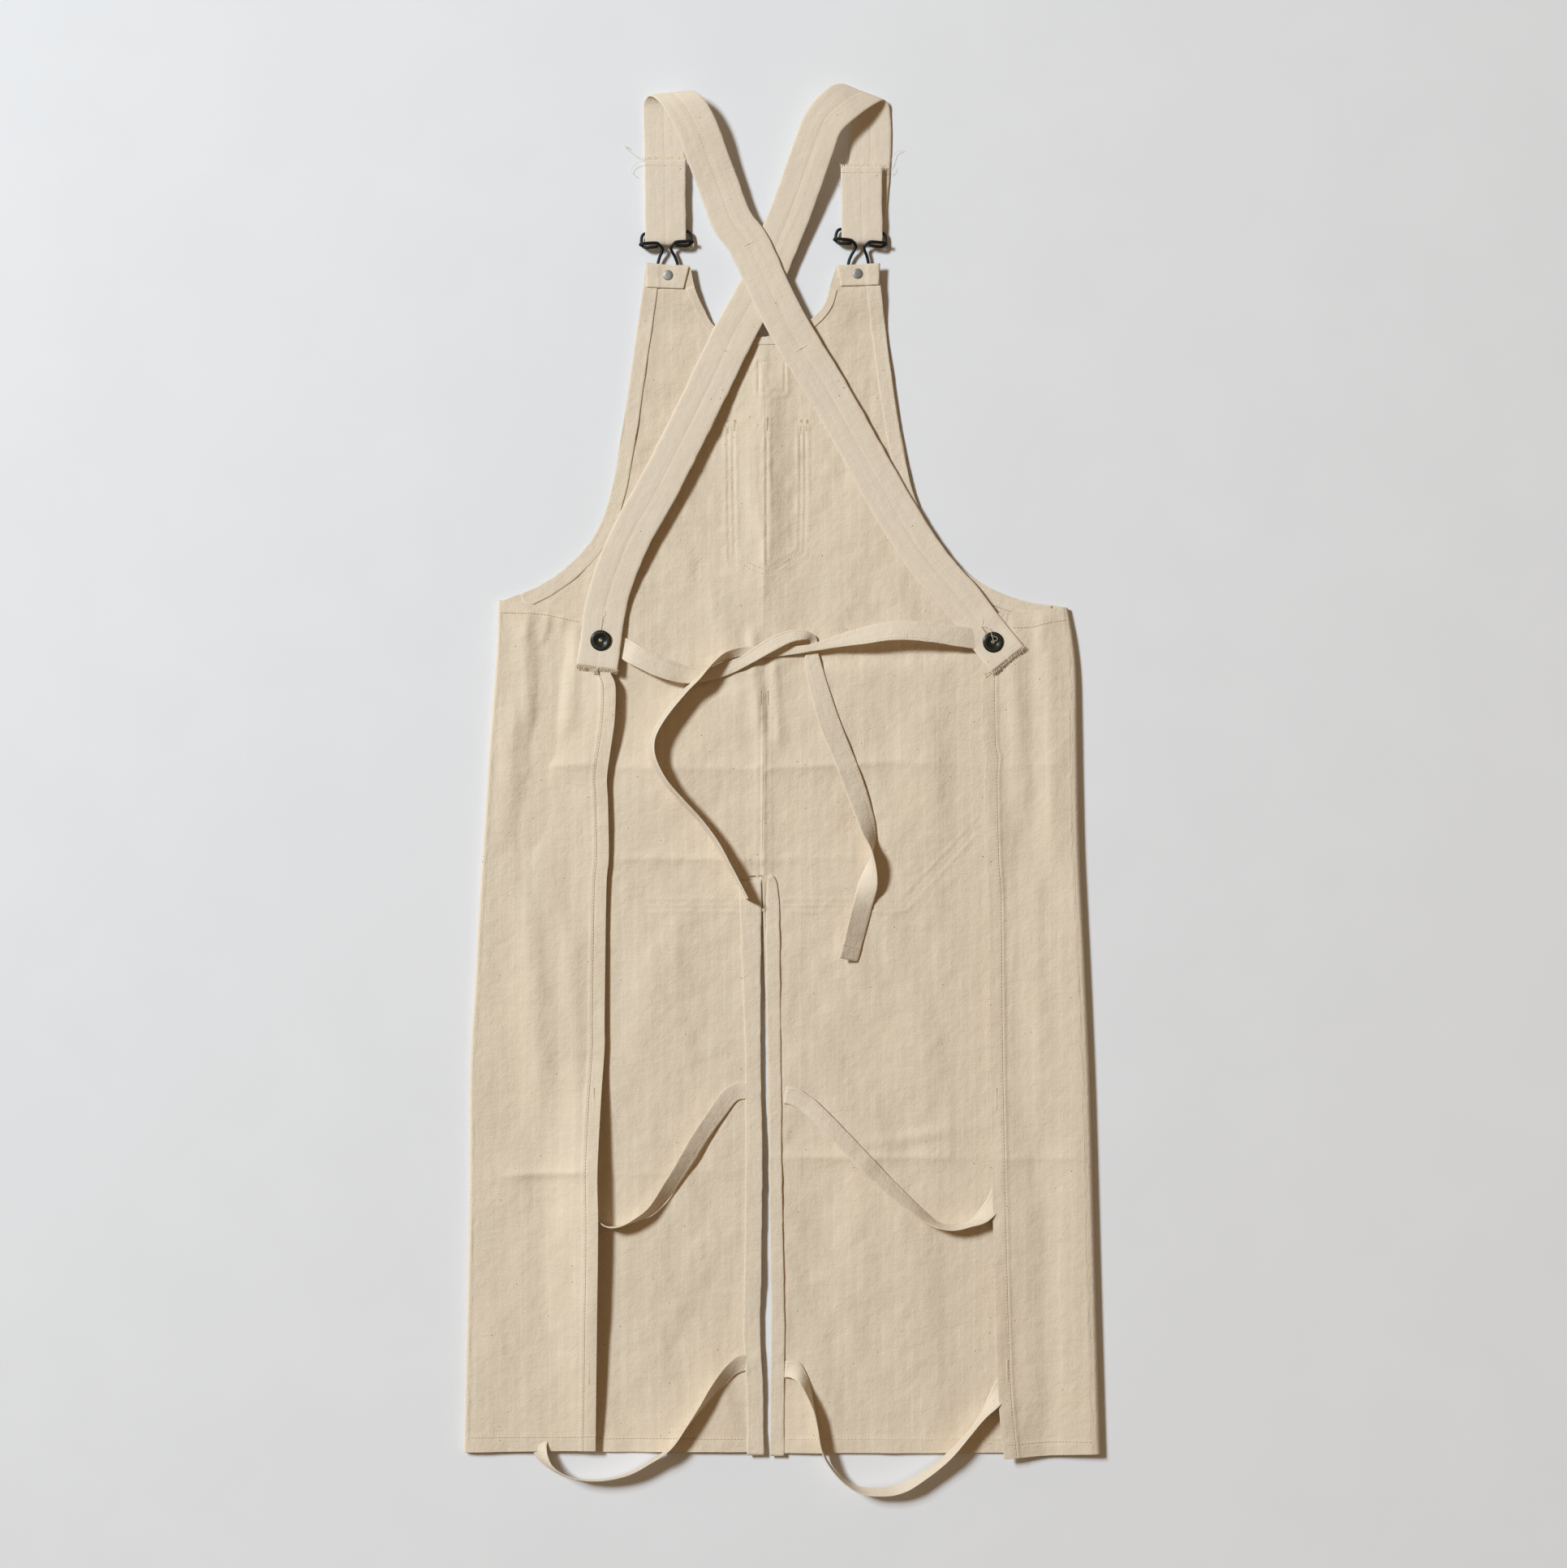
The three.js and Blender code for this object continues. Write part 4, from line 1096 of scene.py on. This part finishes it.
TACKS = [
    ((-51, 324), (-51, 312), 4.5), ((-44, 324), (-44, 314), 4), ((17, 324), (17, 312), 4.5), ((22.5, 324),
    (22.5, 314), 4),
    ((-14.3, 326), (-14.3, 314), 3.2), ((-20.3, 74), (-20.3, 61), 2.6), ((-13.6, 74), (-13.6, 61), 2.6),
]
for a, b, wide in TACKS:
    za, zb = (float(panel_height(*p)) + 0.75 for p in (a, b))
    seams.bartack((*a, za), (*b, zb), wide)
seams.bartack((-23.5, -128, 3.9), (-15.5, -128, 3.9), 4.5)
for x, y in ((-27, -299), (-27, -547), (-6.5, -300), (-5, -552)):
    seams.bartack((x, y - 7, 4.1), (x, y + 7, 4.1), 2.4)
obj = seams.make("panel_stitches", "apron")

# Stitching and bartacks of the wings.
WING_HEM_ENDS = {
    "left": [
        [(-285, -614.5), (-240, -614), (-200, -613.6), (-172, -612)],
        [(-258, 146), (-223, 144.5), (-196, 139), (-186, 137)],
    ],
    "right": [
        [(284, -617.5), (250, -618), (206, -620)],
        [(260, 139), (243, 136), (228, 132.3), (212, 132)],
    ],
}
TAPE_TACKS = {"left": [(-173.5, -301.5), (-178, -553.5)], "right": [(197, -302), (207, -552)]}
for side, outward in (("left", -1), ("right", 1)):
    sewn = Stitches()
    edge = spline(WINGS[side]["inner"], spacing=3.0)
    edge_row = edge[edge[:, 1] < 92] + [outward * 11.5, 0]
    for p in [edge_row] + [spline(ends, spacing=3) for ends in WING_HEM_ENDS[side]]:
        sewn.row(np.column_stack([p, wing_height(side, p[:, 0], p[:, 1]) + 0.85]))
    for x, y in TAPE_TACKS[side]:
        z = wing_height(side, [x, x], [y - 9, y + 9]) + 0.6
        sewn.bartack((x, y - 10, z[0]), (x, y + 10, z[1]), 2.6)
    obj = sewn.make("wing_stitches_" + side, "wing_" + side)

# ---------------------------------------------------------------- straps

STRAP_WIDTH, STRAP_THICKNESS = 38, 2.0
# Stations are x, y, z and the angle of the width. Each starts at the raw end, which lies on top, turns down
# round the buckle's wire and runs back beneath itself.
BUCKLE_ENDS = {
    "a": [
        [-108, 563, 7.4, 0], [-108, 525, 7.2, 0], [-107.5, 494, 7.0, 0], [-107.5, 487.5, 6.4, 0],
        [-107.5, 485.1, 4.25, 0],
        [-107.5, 487.5, 2.2, 0], [-108, 494, 1.4, 0], [-108, 525, 1.2, 0], [-108.4, 552, 1.2, 0],
    ],
    "b": [
        [73, 556.5, 7.4, 0], [73, 525, 7.2, 0], [73.5, 495, 7.0, 0], [73.5, 488.5, 6.4, 0],
        [73.5, 486.1, 4.25, 0],
        [73.5, 488.5, 2.2, 0], [74, 495, 1.4, 0], [78, 525, 1.2, 0], [80.3, 552, 1.2, 0],
    ],
}
STRAP_LOOPS = {
    "a": [
        [-108.4, 550, 1.2, 0], [-108.7, 575, 1.2, 0], [-109.5, 606, 1.6, 1], [-108.5, 618, 4, 2],
        [-103, 623.5, 10, 6],
        [-92, 615, 16.5, 12], [-78.8, 592, 17.5, 20], [-69, 565.5, 15, 21],
    ],
    "b": [
        [80.2, 550, 1.2, 0], [81.5, 575, 1.2, 0], [81, 606.6, 1.6, -4], [78, 621.6, 4.5, -14],
        [72, 624.1, 10, -26],
        [56, 614.6, 16.5, -42], [38.5, 597, 17.5, -36], [28, 571, 15.5, -22],
    ],
}
STRAP_RUNS = {
    "a": [
        [-58.8, 539, 12.4], [-46.5, 506.5, 11.8], [-30.8, 484.5, 11.6], [-6.8, 432.8, 11.8], [12, 398, 10.6],
        [43.5, 346.5, 8.6], [77, 287, 8.0], [106.5, 235.5, 8.0], [135.8, 191, 8.4], [167, 155, 8.6],
        [190, 124.5, 8.0], [207.5, 102.5, 7.8],
    ],
    "b": [
        [17, 540, 12.2], [5, 508, 9.4], [-6.8, 480, 8.4], [-21, 445.5, 8.6], [-45, 401, 10.5],
        [-80, 328.5, 13],
        [-114, 261, 13.5], [-136.5, 221, 13], [-153.8, 181.5, 11], [-163.2, 148, 9], [-167, 120, 8.2],
        [-170.5, 95, 7.8],
    ],
}
STRAP_BLEND = {
    "a": ("wing_right", (85, 272, 0), (172, 149, 0)),
    "b": ("wing_left", (-95, 298, 0), (-163, 150, 0)),
}
FOLD_THICKNESS = 1.7
strap_paths = {}


def strap_ground(x, y):
    """The upper face of whatever cloth lies under a strap's end: the panel or a folded wing."""
    x, y = np.asarray(x, float), np.asarray(y, float)
    top = np.where(y < 440, panel_height(x, y) + 0.5, 0.0)
    for side, inner, sign in (("left", LEFT_WING_EDGE, 1), ("right", RIGHT_WING_EDGE, -1)):
        ys, xs = [q[1] for q in inner], [q[0] for q in inner]
        edge = np.interp(y, ys, xs)
        brim = 137 + (np.abs(x) - 150) * 0.17 if side == "left" else 145 + (np.abs(x) - 193) * 0.1
        over = (sign * (edge - x) > -1) & (y < brim)
        if over.any():
            top[over] = np.maximum(top[over], wing_height(side, x[over], y[over]) + 0.5)
    return top


def explicit(stations):
    """Stations of a strap whose width lies level, from x, y, z and the angle of its width."""
    out = []
    for x, y, z, angle in stations:
        a = math.radians(angle)
        out.append([x, y, z, math.cos(a) * STRAP_WIDTH / 2, math.sin(a) * STRAP_WIDTH / 2, 0])
    return out


def sew_strap(surface, normal, thickness):
    """Two rows down the middle on both faces, and a row along each edge."""
    sewn = Stitches()
    for share in (-0.055, 0.055):
        sewn.row(surface(share) - normal * 0.06, normal, pitch=3.0, radius=0.22)
        sewn.row(surface(share) - normal * (thickness * 0.97 - 0.06), -normal, pitch=3.0, radius=0.22)
    for share in (-0.93, 0.93):
        sewn.row(surface(share) - normal * 0.12, normal, pitch=3.0, radius=0.2)
    return sewn


for strap in ("a", "b"):
    stations = explicit(STRAP_LOOPS[strap]) + followed(STRAP_RUNS[strap], STRAP_WIDTH, side=1)
    path, across, widths = ribbon_rows(stations, 2.2)
    path = resting(path, across, widths, STRAP_THICKNESS, strap_ground)
    strap_paths[strap] = path
    wing, start, stop = STRAP_BLEND[strap]
    shape = dict(seam=0.0, wobble=0.3)
    name = "strap_" + strap
    obj, surface, normal = band(
        name + "_cloth", path, across, widths, STRAP_THICKNESS, strap_cloth, None, seed=12, **shape
    )
    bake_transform(obj)
    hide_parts(*("strap_" + strap + "_" + part for part in ("loop", "run", "wing_end")))
    sewn = sew_strap(surface, normal, STRAP_THICKNESS)
    marks = {"a": [(-34, 484, 9), (19, 391, 11)], "b": [(-52, 385, 9)]}[strap]
    for x, y, size in marks:
        k = int(np.argmin((path[:, 0] - x) ** 2 + (path[:, 1] - y) ** 2))
        up = normal[k] * np.sign(normal[k, 2])
        lift = path[k] + up * (STRAP_THICKNESS / 2 + 0.05)
        sewn.bartack(lift - across[k] * size / 2, lift + across[k] * size / 2, 2.2, up)
    seam = sewn.make(name + "_stitches", None)
    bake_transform(seam)

    stations = explicit(BUCKLE_ENDS[strap])
    path, across, widths = ribbon_rows(stations, 1.6)
    x = BUCKLE_ENDS[strap][0][0]
    obj, surface, normal = band(
        name + "_fold", path, across, widths, FOLD_THICKNESS, strap_cloth, None, seed=15, **shape
    )
    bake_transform(obj)
    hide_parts("strap_" + strap + "_buckle_end")
    sewn = sew_strap(surface, normal, FOLD_THICKNESS)
    # The overlocked raw end and its loose threads.
    end = path[0]
    up = np.array([0, 0, 1.0])
    for k in range(46):
        share = -0.98 + 1.96 * k / 45
        at = end + across[0] * share * STRAP_WIDTH / 2
        length = 2.2 + 1.4 * abs(noise(k * 3.1, 2, 4))
        lean = 1.6 * float(noise(k * 5.7, 7, 3))
        sewn.spindle(at + [0, -1.4, 0.8], at + [lean, length, 0.15], up, 0.36)
    low = end + [0, -5.2, 0.95]
    sewn.row([low - across[0] * 18.4, low + across[0] * 18.4], up, pitch=2.0)
    seam = sewn.make(name + "_fold_stitches", None)
    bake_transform(seam)

# Buttonholes: close stitches a little above each waist button, round a row of needle holes whose dark colour
# paints the slot's shade.
BUTTONHOLES = [
    ("b", "wing_left", (-164.3, 141), (-166.2, 129.5)),
    ("a", "wing_right", (183.6, 133.2), (190.5, 123.6)),
]
for strap, owner, a, b in BUTTONHOLES:
    path = strap_paths[strap]
    k = int(np.argmin(np.hypot(path[:, 0] - a[0], path[:, 1] - a[1])))
    m = int(np.argmin(np.hypot(path[:, 0] - b[0], path[:, 1] - b[1])))
    a, b = np.array([*a, path[k, 2] + 1.0]), np.array([*b, path[m, 2] + 1.0])
    beside = np.cross([0, 0, 1.0], (b - a) / np.linalg.norm(b - a))
    worked = Stitches()
    worked.bartack(a + beside * 1.3, b + beside * 1.3, 2.0)
    worked.bartack(a - beside * 1.3, b - beside * 1.3, 2.0)
    worked.bartack(a - beside * 2.6, a + beside * 2.6, 2.2)
    # Painted shade: dark needle holes along the slot stand in for the shade in its gap.
    for t in np.linspace(0.05, 0.95, 12):
        worked.hole(a + (b - a) * t + [0, 0, 0.1], (0, 0, 1), 0.5)
    if owner == "wing_right":
        middle = (a + b) / 2
        start, out, back = a + [0, 0, 0.4], middle + beside * 4 + [0, 0, 2.4], middle - beside * 3 + [0, 0, 2]
        worked.thread([start, out, b + [4, -4, 3.6], b + [7, -1, 3.4], back], 0.22)
    worked.thread([a + [0, 1, 0.2], a + [1.2, 4, 0.6], a + [0.4, 7, 0.3]], 0.18)
    obj = worked.make("buttonhole_" + strap, owner)

# ---------------------------------------------------------------- buckles, buttons and tacks

BIB_BUTTONS = {"left": (-105.2, 456.4), "right": (69.4, 457.9)}
WAIST_BUTTONS = {"left": (-167, 120), "right": (194, 118.5)}
BUCKLE_TURN = {"left": 3, "right": -5}
WIRE_RADIUS = 1.4
DOTS = 22  # round the waist button's rim
DOT_RING = 7.45
HALF_HANGER = [
    (-23.4, 29.2, 5.6), (-24.1, 29.9, 7.4), (-22.6, 30.3, 9), (-20.5, 30.4, 9.3), (-9.8, 30.3, 9.3),
    (-6.6, 28.4, 8.5), (-3.9, 24.3, 6.8), (-7.2, 17, 5.2), (-9.2, 9.5, 4.5), (-8, 1.5, 4.5),
    (-4.6, -3.2, 4.5),
]
HALF_SLIDE = [
    (-8.2, 27.4, 7.6), (-10.5, 27, 7.9), (-19, 26.6, 7.4), (-22.4, 29.2, 5), (-23, 34, 4.2),
    (-21.4, 39, 4.2), (-16, 40.6, 4.2),
]


def mirrored(half, middle):
    """A wire's bends from one end to the other, from those of its left half."""
    return half + [middle] + [(-x, y, z) for x, y, z in reversed(half)]


def tube(name, points, radius, material, body, sides=14, spacing=0.5):
    """A bent wire with flat ends."""
    p = spline(points, spacing=spacing)
    tangent = unit(np.gradient(p, axis=0))
    side = unit(np.cross(tangent, [0, 0, 1.0]), 1e-6)
    up = np.cross(side, tangent)
    angle = np.linspace(0, 2 * np.pi, sides, endpoint=False)
    cosine, sine = np.cos(angle)[None, :, None], np.sin(angle)[None, :, None]
    ring = p[:, None] + radius * (cosine * side[:, None] + sine * up[:, None])
    index = np.arange(len(p) * sides).reshape(len(p), sides)
    after = np.roll(index, -1, axis=1)
    quads = np.stack([index[:-1], index[1:], after[1:], after[:-1]], -1).reshape(-1, 4)
    faces = [tuple(q) for q in quads] + [tuple(index[0]), tuple(index[-1][::-1])]
    return add_mesh(name, ring.reshape(-1, 3), faces, material, body)


def placed(points, side):
    """Points given round a bib button, turned with its buckle and moved into place."""
    a = math.radians(BUCKLE_TURN[side])
    c, s = math.cos(a), math.sin(a)
    cx, cy = BIB_BUTTONS[side]
    return [(cx + x * c - y * s, cy + x * s + y * c, z) for x, y, z in points]


def lathe(name, outline, place, material, body, segments=64):
    """A turned piece from (radius, height) pairs, closed on its axis at both ends."""
    ring = np.array(outline[1:-1], float)
    angle = np.linspace(0, 2 * np.pi, segments, endpoint=False)
    x = ring[:, :1] * np.cos(angle) + place[0]
    y = ring[:, :1] * np.sin(angle) + place[1]
    z = np.broadcast_to(ring[:, 1:], x.shape)
    vertices = np.stack([x, y, z], -1).reshape(-1, 3).tolist()
    first, last = len(vertices), len(vertices) + 1
    vertices += [(*place, outline[0][1]), (*place, outline[-1][1])]
    index = np.arange(len(ring) * segments).reshape(len(ring), segments)
    after = np.roll(index, -1, axis=1)
    faces = [tuple(q) for q in np.stack([index[:-1], after[:-1], after[1:], index[1:]], -1).reshape(-1, 4)]
    faces += [(first, b, a) for a, b in zip(index[0], after[0])]
    faces += [(last, a, b) for a, b in zip(index[-1], after[-1])]
    return add_mesh(name, vertices, faces, material, body)


def rounded(points, steps=5, radius=0.28):
    """A turned outline with its corners softened, as (radius, height) pairs."""
    p = np.array(points, float)
    out = [p[0]]
    for a, b, c in zip(p[:-2], p[1:-1], p[2:]):
        ab, bc = np.linalg.norm(b - a), np.linalg.norm(c - b)
        r = min(radius, ab * 0.45, bc * 0.45)
        start, stop = b + (a - b) / ab * r, b + (c - b) / bc * r
        for t in np.linspace(0, 1, steps):
            out.append((1 - t) ** 2 * start + 2 * t * (1 - t) * b + t**2 * stop)
    out.append(p[-1])
    return [tuple(q) for q in out]


for side in ("left", "right"):
    body = "buckle_" + side
    for part, half, middle in (
        ("hanger", HALF_HANGER, (0, -4.7, 4.5)),
        ("slide", HALF_SLIDE, (0, 40.8, 4.2)),
    ):
        bent = placed(mirrored(half, middle), side)
        obj = tube(part + "_wire_" + side, bent, WIRE_RADIUS, black_enamel, body)
        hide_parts("buckle_" + part + "_" + side)

    head = [
        (0, 1.2), (3.2, 1.2), (3.8, 0.5), (7.2, 0.3), (8.5, 1), (8.5, 2.3), (7.4, 3), (3, 3), (3, 5.6),
        (0, 5.6),
    ]
    obj = lathe("bib_button_head_" + side, rounded(head), BIB_BUTTONS[side], button_face, "apron")
    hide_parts("bib_button_" + side)
    low = 8.35
    tack = [
        (0, low - 2), (1.1, low - 2), (1.1, low), (4.7, low), (4.9, low + 0.5), (4.4, low + 1.05),
        (2.6, low + 1.3), (0, low + 1.35),
    ]
    obj = lathe("bib_tack_head_" + side, rounded(tack), BIB_BUTTONS[side], nickel, "apron")
    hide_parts("bib_tack_" + side)

    strap_path = strap_paths[{"left": "b", "right": "a"}[side]]
    under = np.argmin(np.hypot(*(strap_path[:, :2] - WAIST_BUTTONS[side]).T))
    base = strap_path[under, 2] + STRAP_THICKNESS / 2 - 0.9
    cup = [
        (0, base), (3.2, base), (3.2, base + 0.7), (8.6, base + 0.8), (9.6, base + 1.6), (9.5, base + 2.6),
        (8.3, base + 3.3), (6.6, base + 3.4), (5.0, base + 3.0), (4.4, base + 2.2), (3.6, base + 1.9),
        (0, base + 1.9),
    ]
    obj = lathe("waist_button_head_" + side, rounded(cup), WAIST_BUTTONS[side], button_face, "wing_" + side)
    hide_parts("waist_button_" + side)
    cap = [
        (0, base + 1.6), (1.9, base + 1.6), (2.0, base + 2.4), (1.4, base + 2.9), (0.7, base + 3.0),
        (0, base + 2.6),
    ]
    cap = rounded(cap, radius=0.15)
    obj = lathe("waist_rivet_" + side, cap, WAIST_BUTTONS[side], brass, "wing_" + side, segments=32)
    dots = Stitches()
    for k in range(DOTS):
        a = 2 * math.pi * k / DOTS
        middle = np.array([*WAIST_BUTTONS[side], base + 3.36])
        c = middle + [DOT_RING * math.cos(a), DOT_RING * math.sin(a), 0]
        along = np.array([-math.sin(a), math.cos(a), 0]) * 0.55
        dots.spindle(c - along, c + along, (0, 0, 1), 0.28)
    obj = add_mesh("waist_button_dots_" + side, np.array(dots.vertices), dots.faces, brass, "wing_" + side)
    low = 3.1
    back = [
        (0, low), (4.4, low), (4.7, low + 0.4), (4.7, low + 0.9), (4.3, low + 1.2), (1.1, low + 1.2),
        (1.1, 8.6), (0, 8.6),
    ]
    obj = lathe("waist_tack_head_" + side, rounded(back), WAIST_BUTTONS[side], nickel, "wing_" + side)
    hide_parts("waist_tack_" + side)

# ---------------------------------------------------------------- front: pockets and label, seen from below


def polygon_cloth(name, node, left, right, material):
    """A pocket between its left and right edges, each from bottom to top, lying under the panel."""
    rows = 60
    a, b = evenly(left, count=rows), evenly(right, count=rows)
    share = np.linspace(0, 1, 70)[None, :, None]
    xy = a[:, None] * (1 - share) + b[:, None] * share
    z = 0.46 + 0.04 * noise(xy[..., 0], xy[..., 1], 20, 26, 9)
    obj = slab(name, np.concatenate([xy, z[..., None]], -1), 0.8, material, "apron")
    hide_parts(node)
    return obj


left = [(-14, 181), (-50, 196), (-51, 260), (-52, 317)]
right = [(-13, 181), (20, 197), (21.5, 260), (22.5, 317)]
obj = polygon_cloth("bib_pocket_cloth", "bib_pocket", left, right, cloth)
left = [(-127, -127.5), (-225, -20), (-225, 75)]
right = [(109.5, -127.5), (225, 0), (225, 75)]
obj = polygon_cloth("waist_pocket_cloth", "waist_pocket", left, right, cloth)
left, right = [(-22, 349), (-22, 377)], [(2.5, 349), (2.5, 377)]
obj = polygon_cloth("label_cloth_patch", "label_patch", left, right, label_cloth)

front = Stitches()
FRONT_HEIGHT = 0.08  # of the stitches on the cloth's lower face


def front_row(*corners):
    """A row of stitches through corners seen in plan, on the face that lies on the table."""
    front.row([(x, y, FRONT_HEIGHT) for x, y in corners], (0, 0, -1))


for inset in (1.6, 5.8):
    front_row((-50 + inset, 317), (-49 + inset, 197 + inset * 0.4))
    front_row((20.5 - inset, 317), (19 - inset, 198 + inset * 0.4))
    front_row((-49 + inset, 197 + inset * 0.4), (-13.5, 182.5 + inset), (19 - inset, 198 + inset * 0.4))
    front_row((-126, -127.5 + inset), (108, -127.5 + inset))
    front_row((-223 + inset, -20), (-223 + inset, 75))
    front_row((223 - inset, 0), (223 - inset, 75))
    front_row((-127 + inset, -126), (-223 + inset, -20 + inset * 0.5))
    front_row((109.5 - inset, -126), (223 - inset, inset * 0.5))
front_row((-51, 305), (21.5, 305))
front_row((-224, 62), (224, 62))
for x in (-20.3, -13.6):
    front_row((x, 75), (x, -127))
obj = front.make("front_stitches", "apron")

# ---------------------------------------------------------------- loose threads and frayed ends

frays = {owner: Stitches() for owner in ("wing_left", "wing_right", "buckle_left", "buckle_right")}


def fringe(owner, a, b, out, count, length, seed):
    """Short raw threads along the edge from a to b, pointing out."""
    a, b, out = np.array(a, float), np.array(b, float), np.array(out, float)
    r = np.random.default_rng(seed)
    for k in range(count):
        p = a + (b - a) * (k + r.uniform(-0.3, 0.3)) / (count - 1)
        way = out * length * r.uniform(0.4, 1.3) + (b - a) / np.linalg.norm(b - a) * r.uniform(-1.6, 1.6)
        mid = p + way * 0.55 + r.uniform(-0.5, 0.5, 3)
        frays[owner].thread([p - out * 0.8, mid, p + way], radius=r.uniform(0.13, 0.24))


for strap, owner in (("b", "wing_left"), ("a", "wing_right")):
    end, way = strap_paths[strap][-1], strap_paths[strap][-1] - strap_paths[strap][-3]
    way /= np.linalg.norm(way)
    beside = np.array([way[1], -way[0], 0])
    fringe(owner, end - beside * 19, end + beside * 19, way - [0, 0, 0.15], 150, 3.4, 21)
    fringe(owner, end - beside * 19 + [0, 0, 0.7], end + beside * 19 + [0, 0, 0.7], way, 90, 2.2, 22)
fringe("buckle_left", (-127, 563, 7.6), (-89, 563, 7.6), (0, 1, 0.05), 55, 2.6, 23)
fringe("buckle_right", (54, 556.5, 7.6), (92, 556.5, 7.6), (0, 1, 0.05), 55, 2.6, 24)
low_z, high_z = strap_paths["b"][-1, 2], strap_paths["a"][-1, 2]
for curl in range(7):
    r = np.random.default_rng(40 + curl)
    knot = [(-172 + r.uniform(-4, 4), 91.5 + r.uniform(-3, 3), low_z + r.uniform(0, 2)) for _ in range(6)]
    frays["wing_left"].thread(knot, 0.26)
STRAY_THREADS = [
    # owner, radius, points
    ("wing_right", 0.26, [(192, 93, high_z), (188, 88, high_z), (187, 85, 8), (191, 84, 7.8)]),
    ("wing_right", 0.26, [(190, 92, high_z), (186, 90, high_z), (189, 86, 8), (193, 88, 8)]),
    ("buckle_left", 0.16, [(-125, 561, 7.6), (-133, 566, 5), (-140, 571, 3), (-146, 577, 2), (-141, 575, 2)]),
    ("buckle_left", 0.16, [(-126, 562, 7.6), (-135, 560, 4), (-139, 553, 2), (-134, 548, 1.6)]),
    ("buckle_left", 0.14, [(-90, 563, 7.6), (-84, 567, 8), (-82, 572, 8.5)]),
    ("buckle_right", 0.16, [(92, 556, 7.6), (99, 561, 5), (104, 570, 3), (111, 573, 2)]),
    ("buckle_right", 0.15, [(91, 557, 7.6), (98, 553, 6), (103, 558, 4)]),
    ("buckle_right", 0.16, [(55, 556, 7.6), (47, 561, 5), (43, 554, 3), (46, 545, 2), (52, 541, 2)]),
    ("buckle_right", 0.15, [(55, 557, 7.6), (50, 563, 7), (44, 565, 5)]),
]
for owner, radius, points in STRAY_THREADS:
    frays[owner].thread(points, radius)
for owner, threads in frays.items():
    on_fold = owner.startswith("buckle")
    obj = threads.make("loose_threads_" + owner, None if on_fold else owner)
    if on_fold:
        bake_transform(obj)

# ---------------------------------------------------------------- floor

floor_material = plain("floor_paper", (0.80, 0.805, 0.815), 0.9, scale=60, depth=0.0, spread=0.003)
REACH = 9000
corners = [(-REACH, -REACH, 0), (REACH, -REACH, 0), (REACH, REACH, 0), (-REACH, REACH, 0)]
floor = add_mesh("floor", corners, [(0, 1, 2, 3)], floor_material, None)
floor.location.z = -0.0002
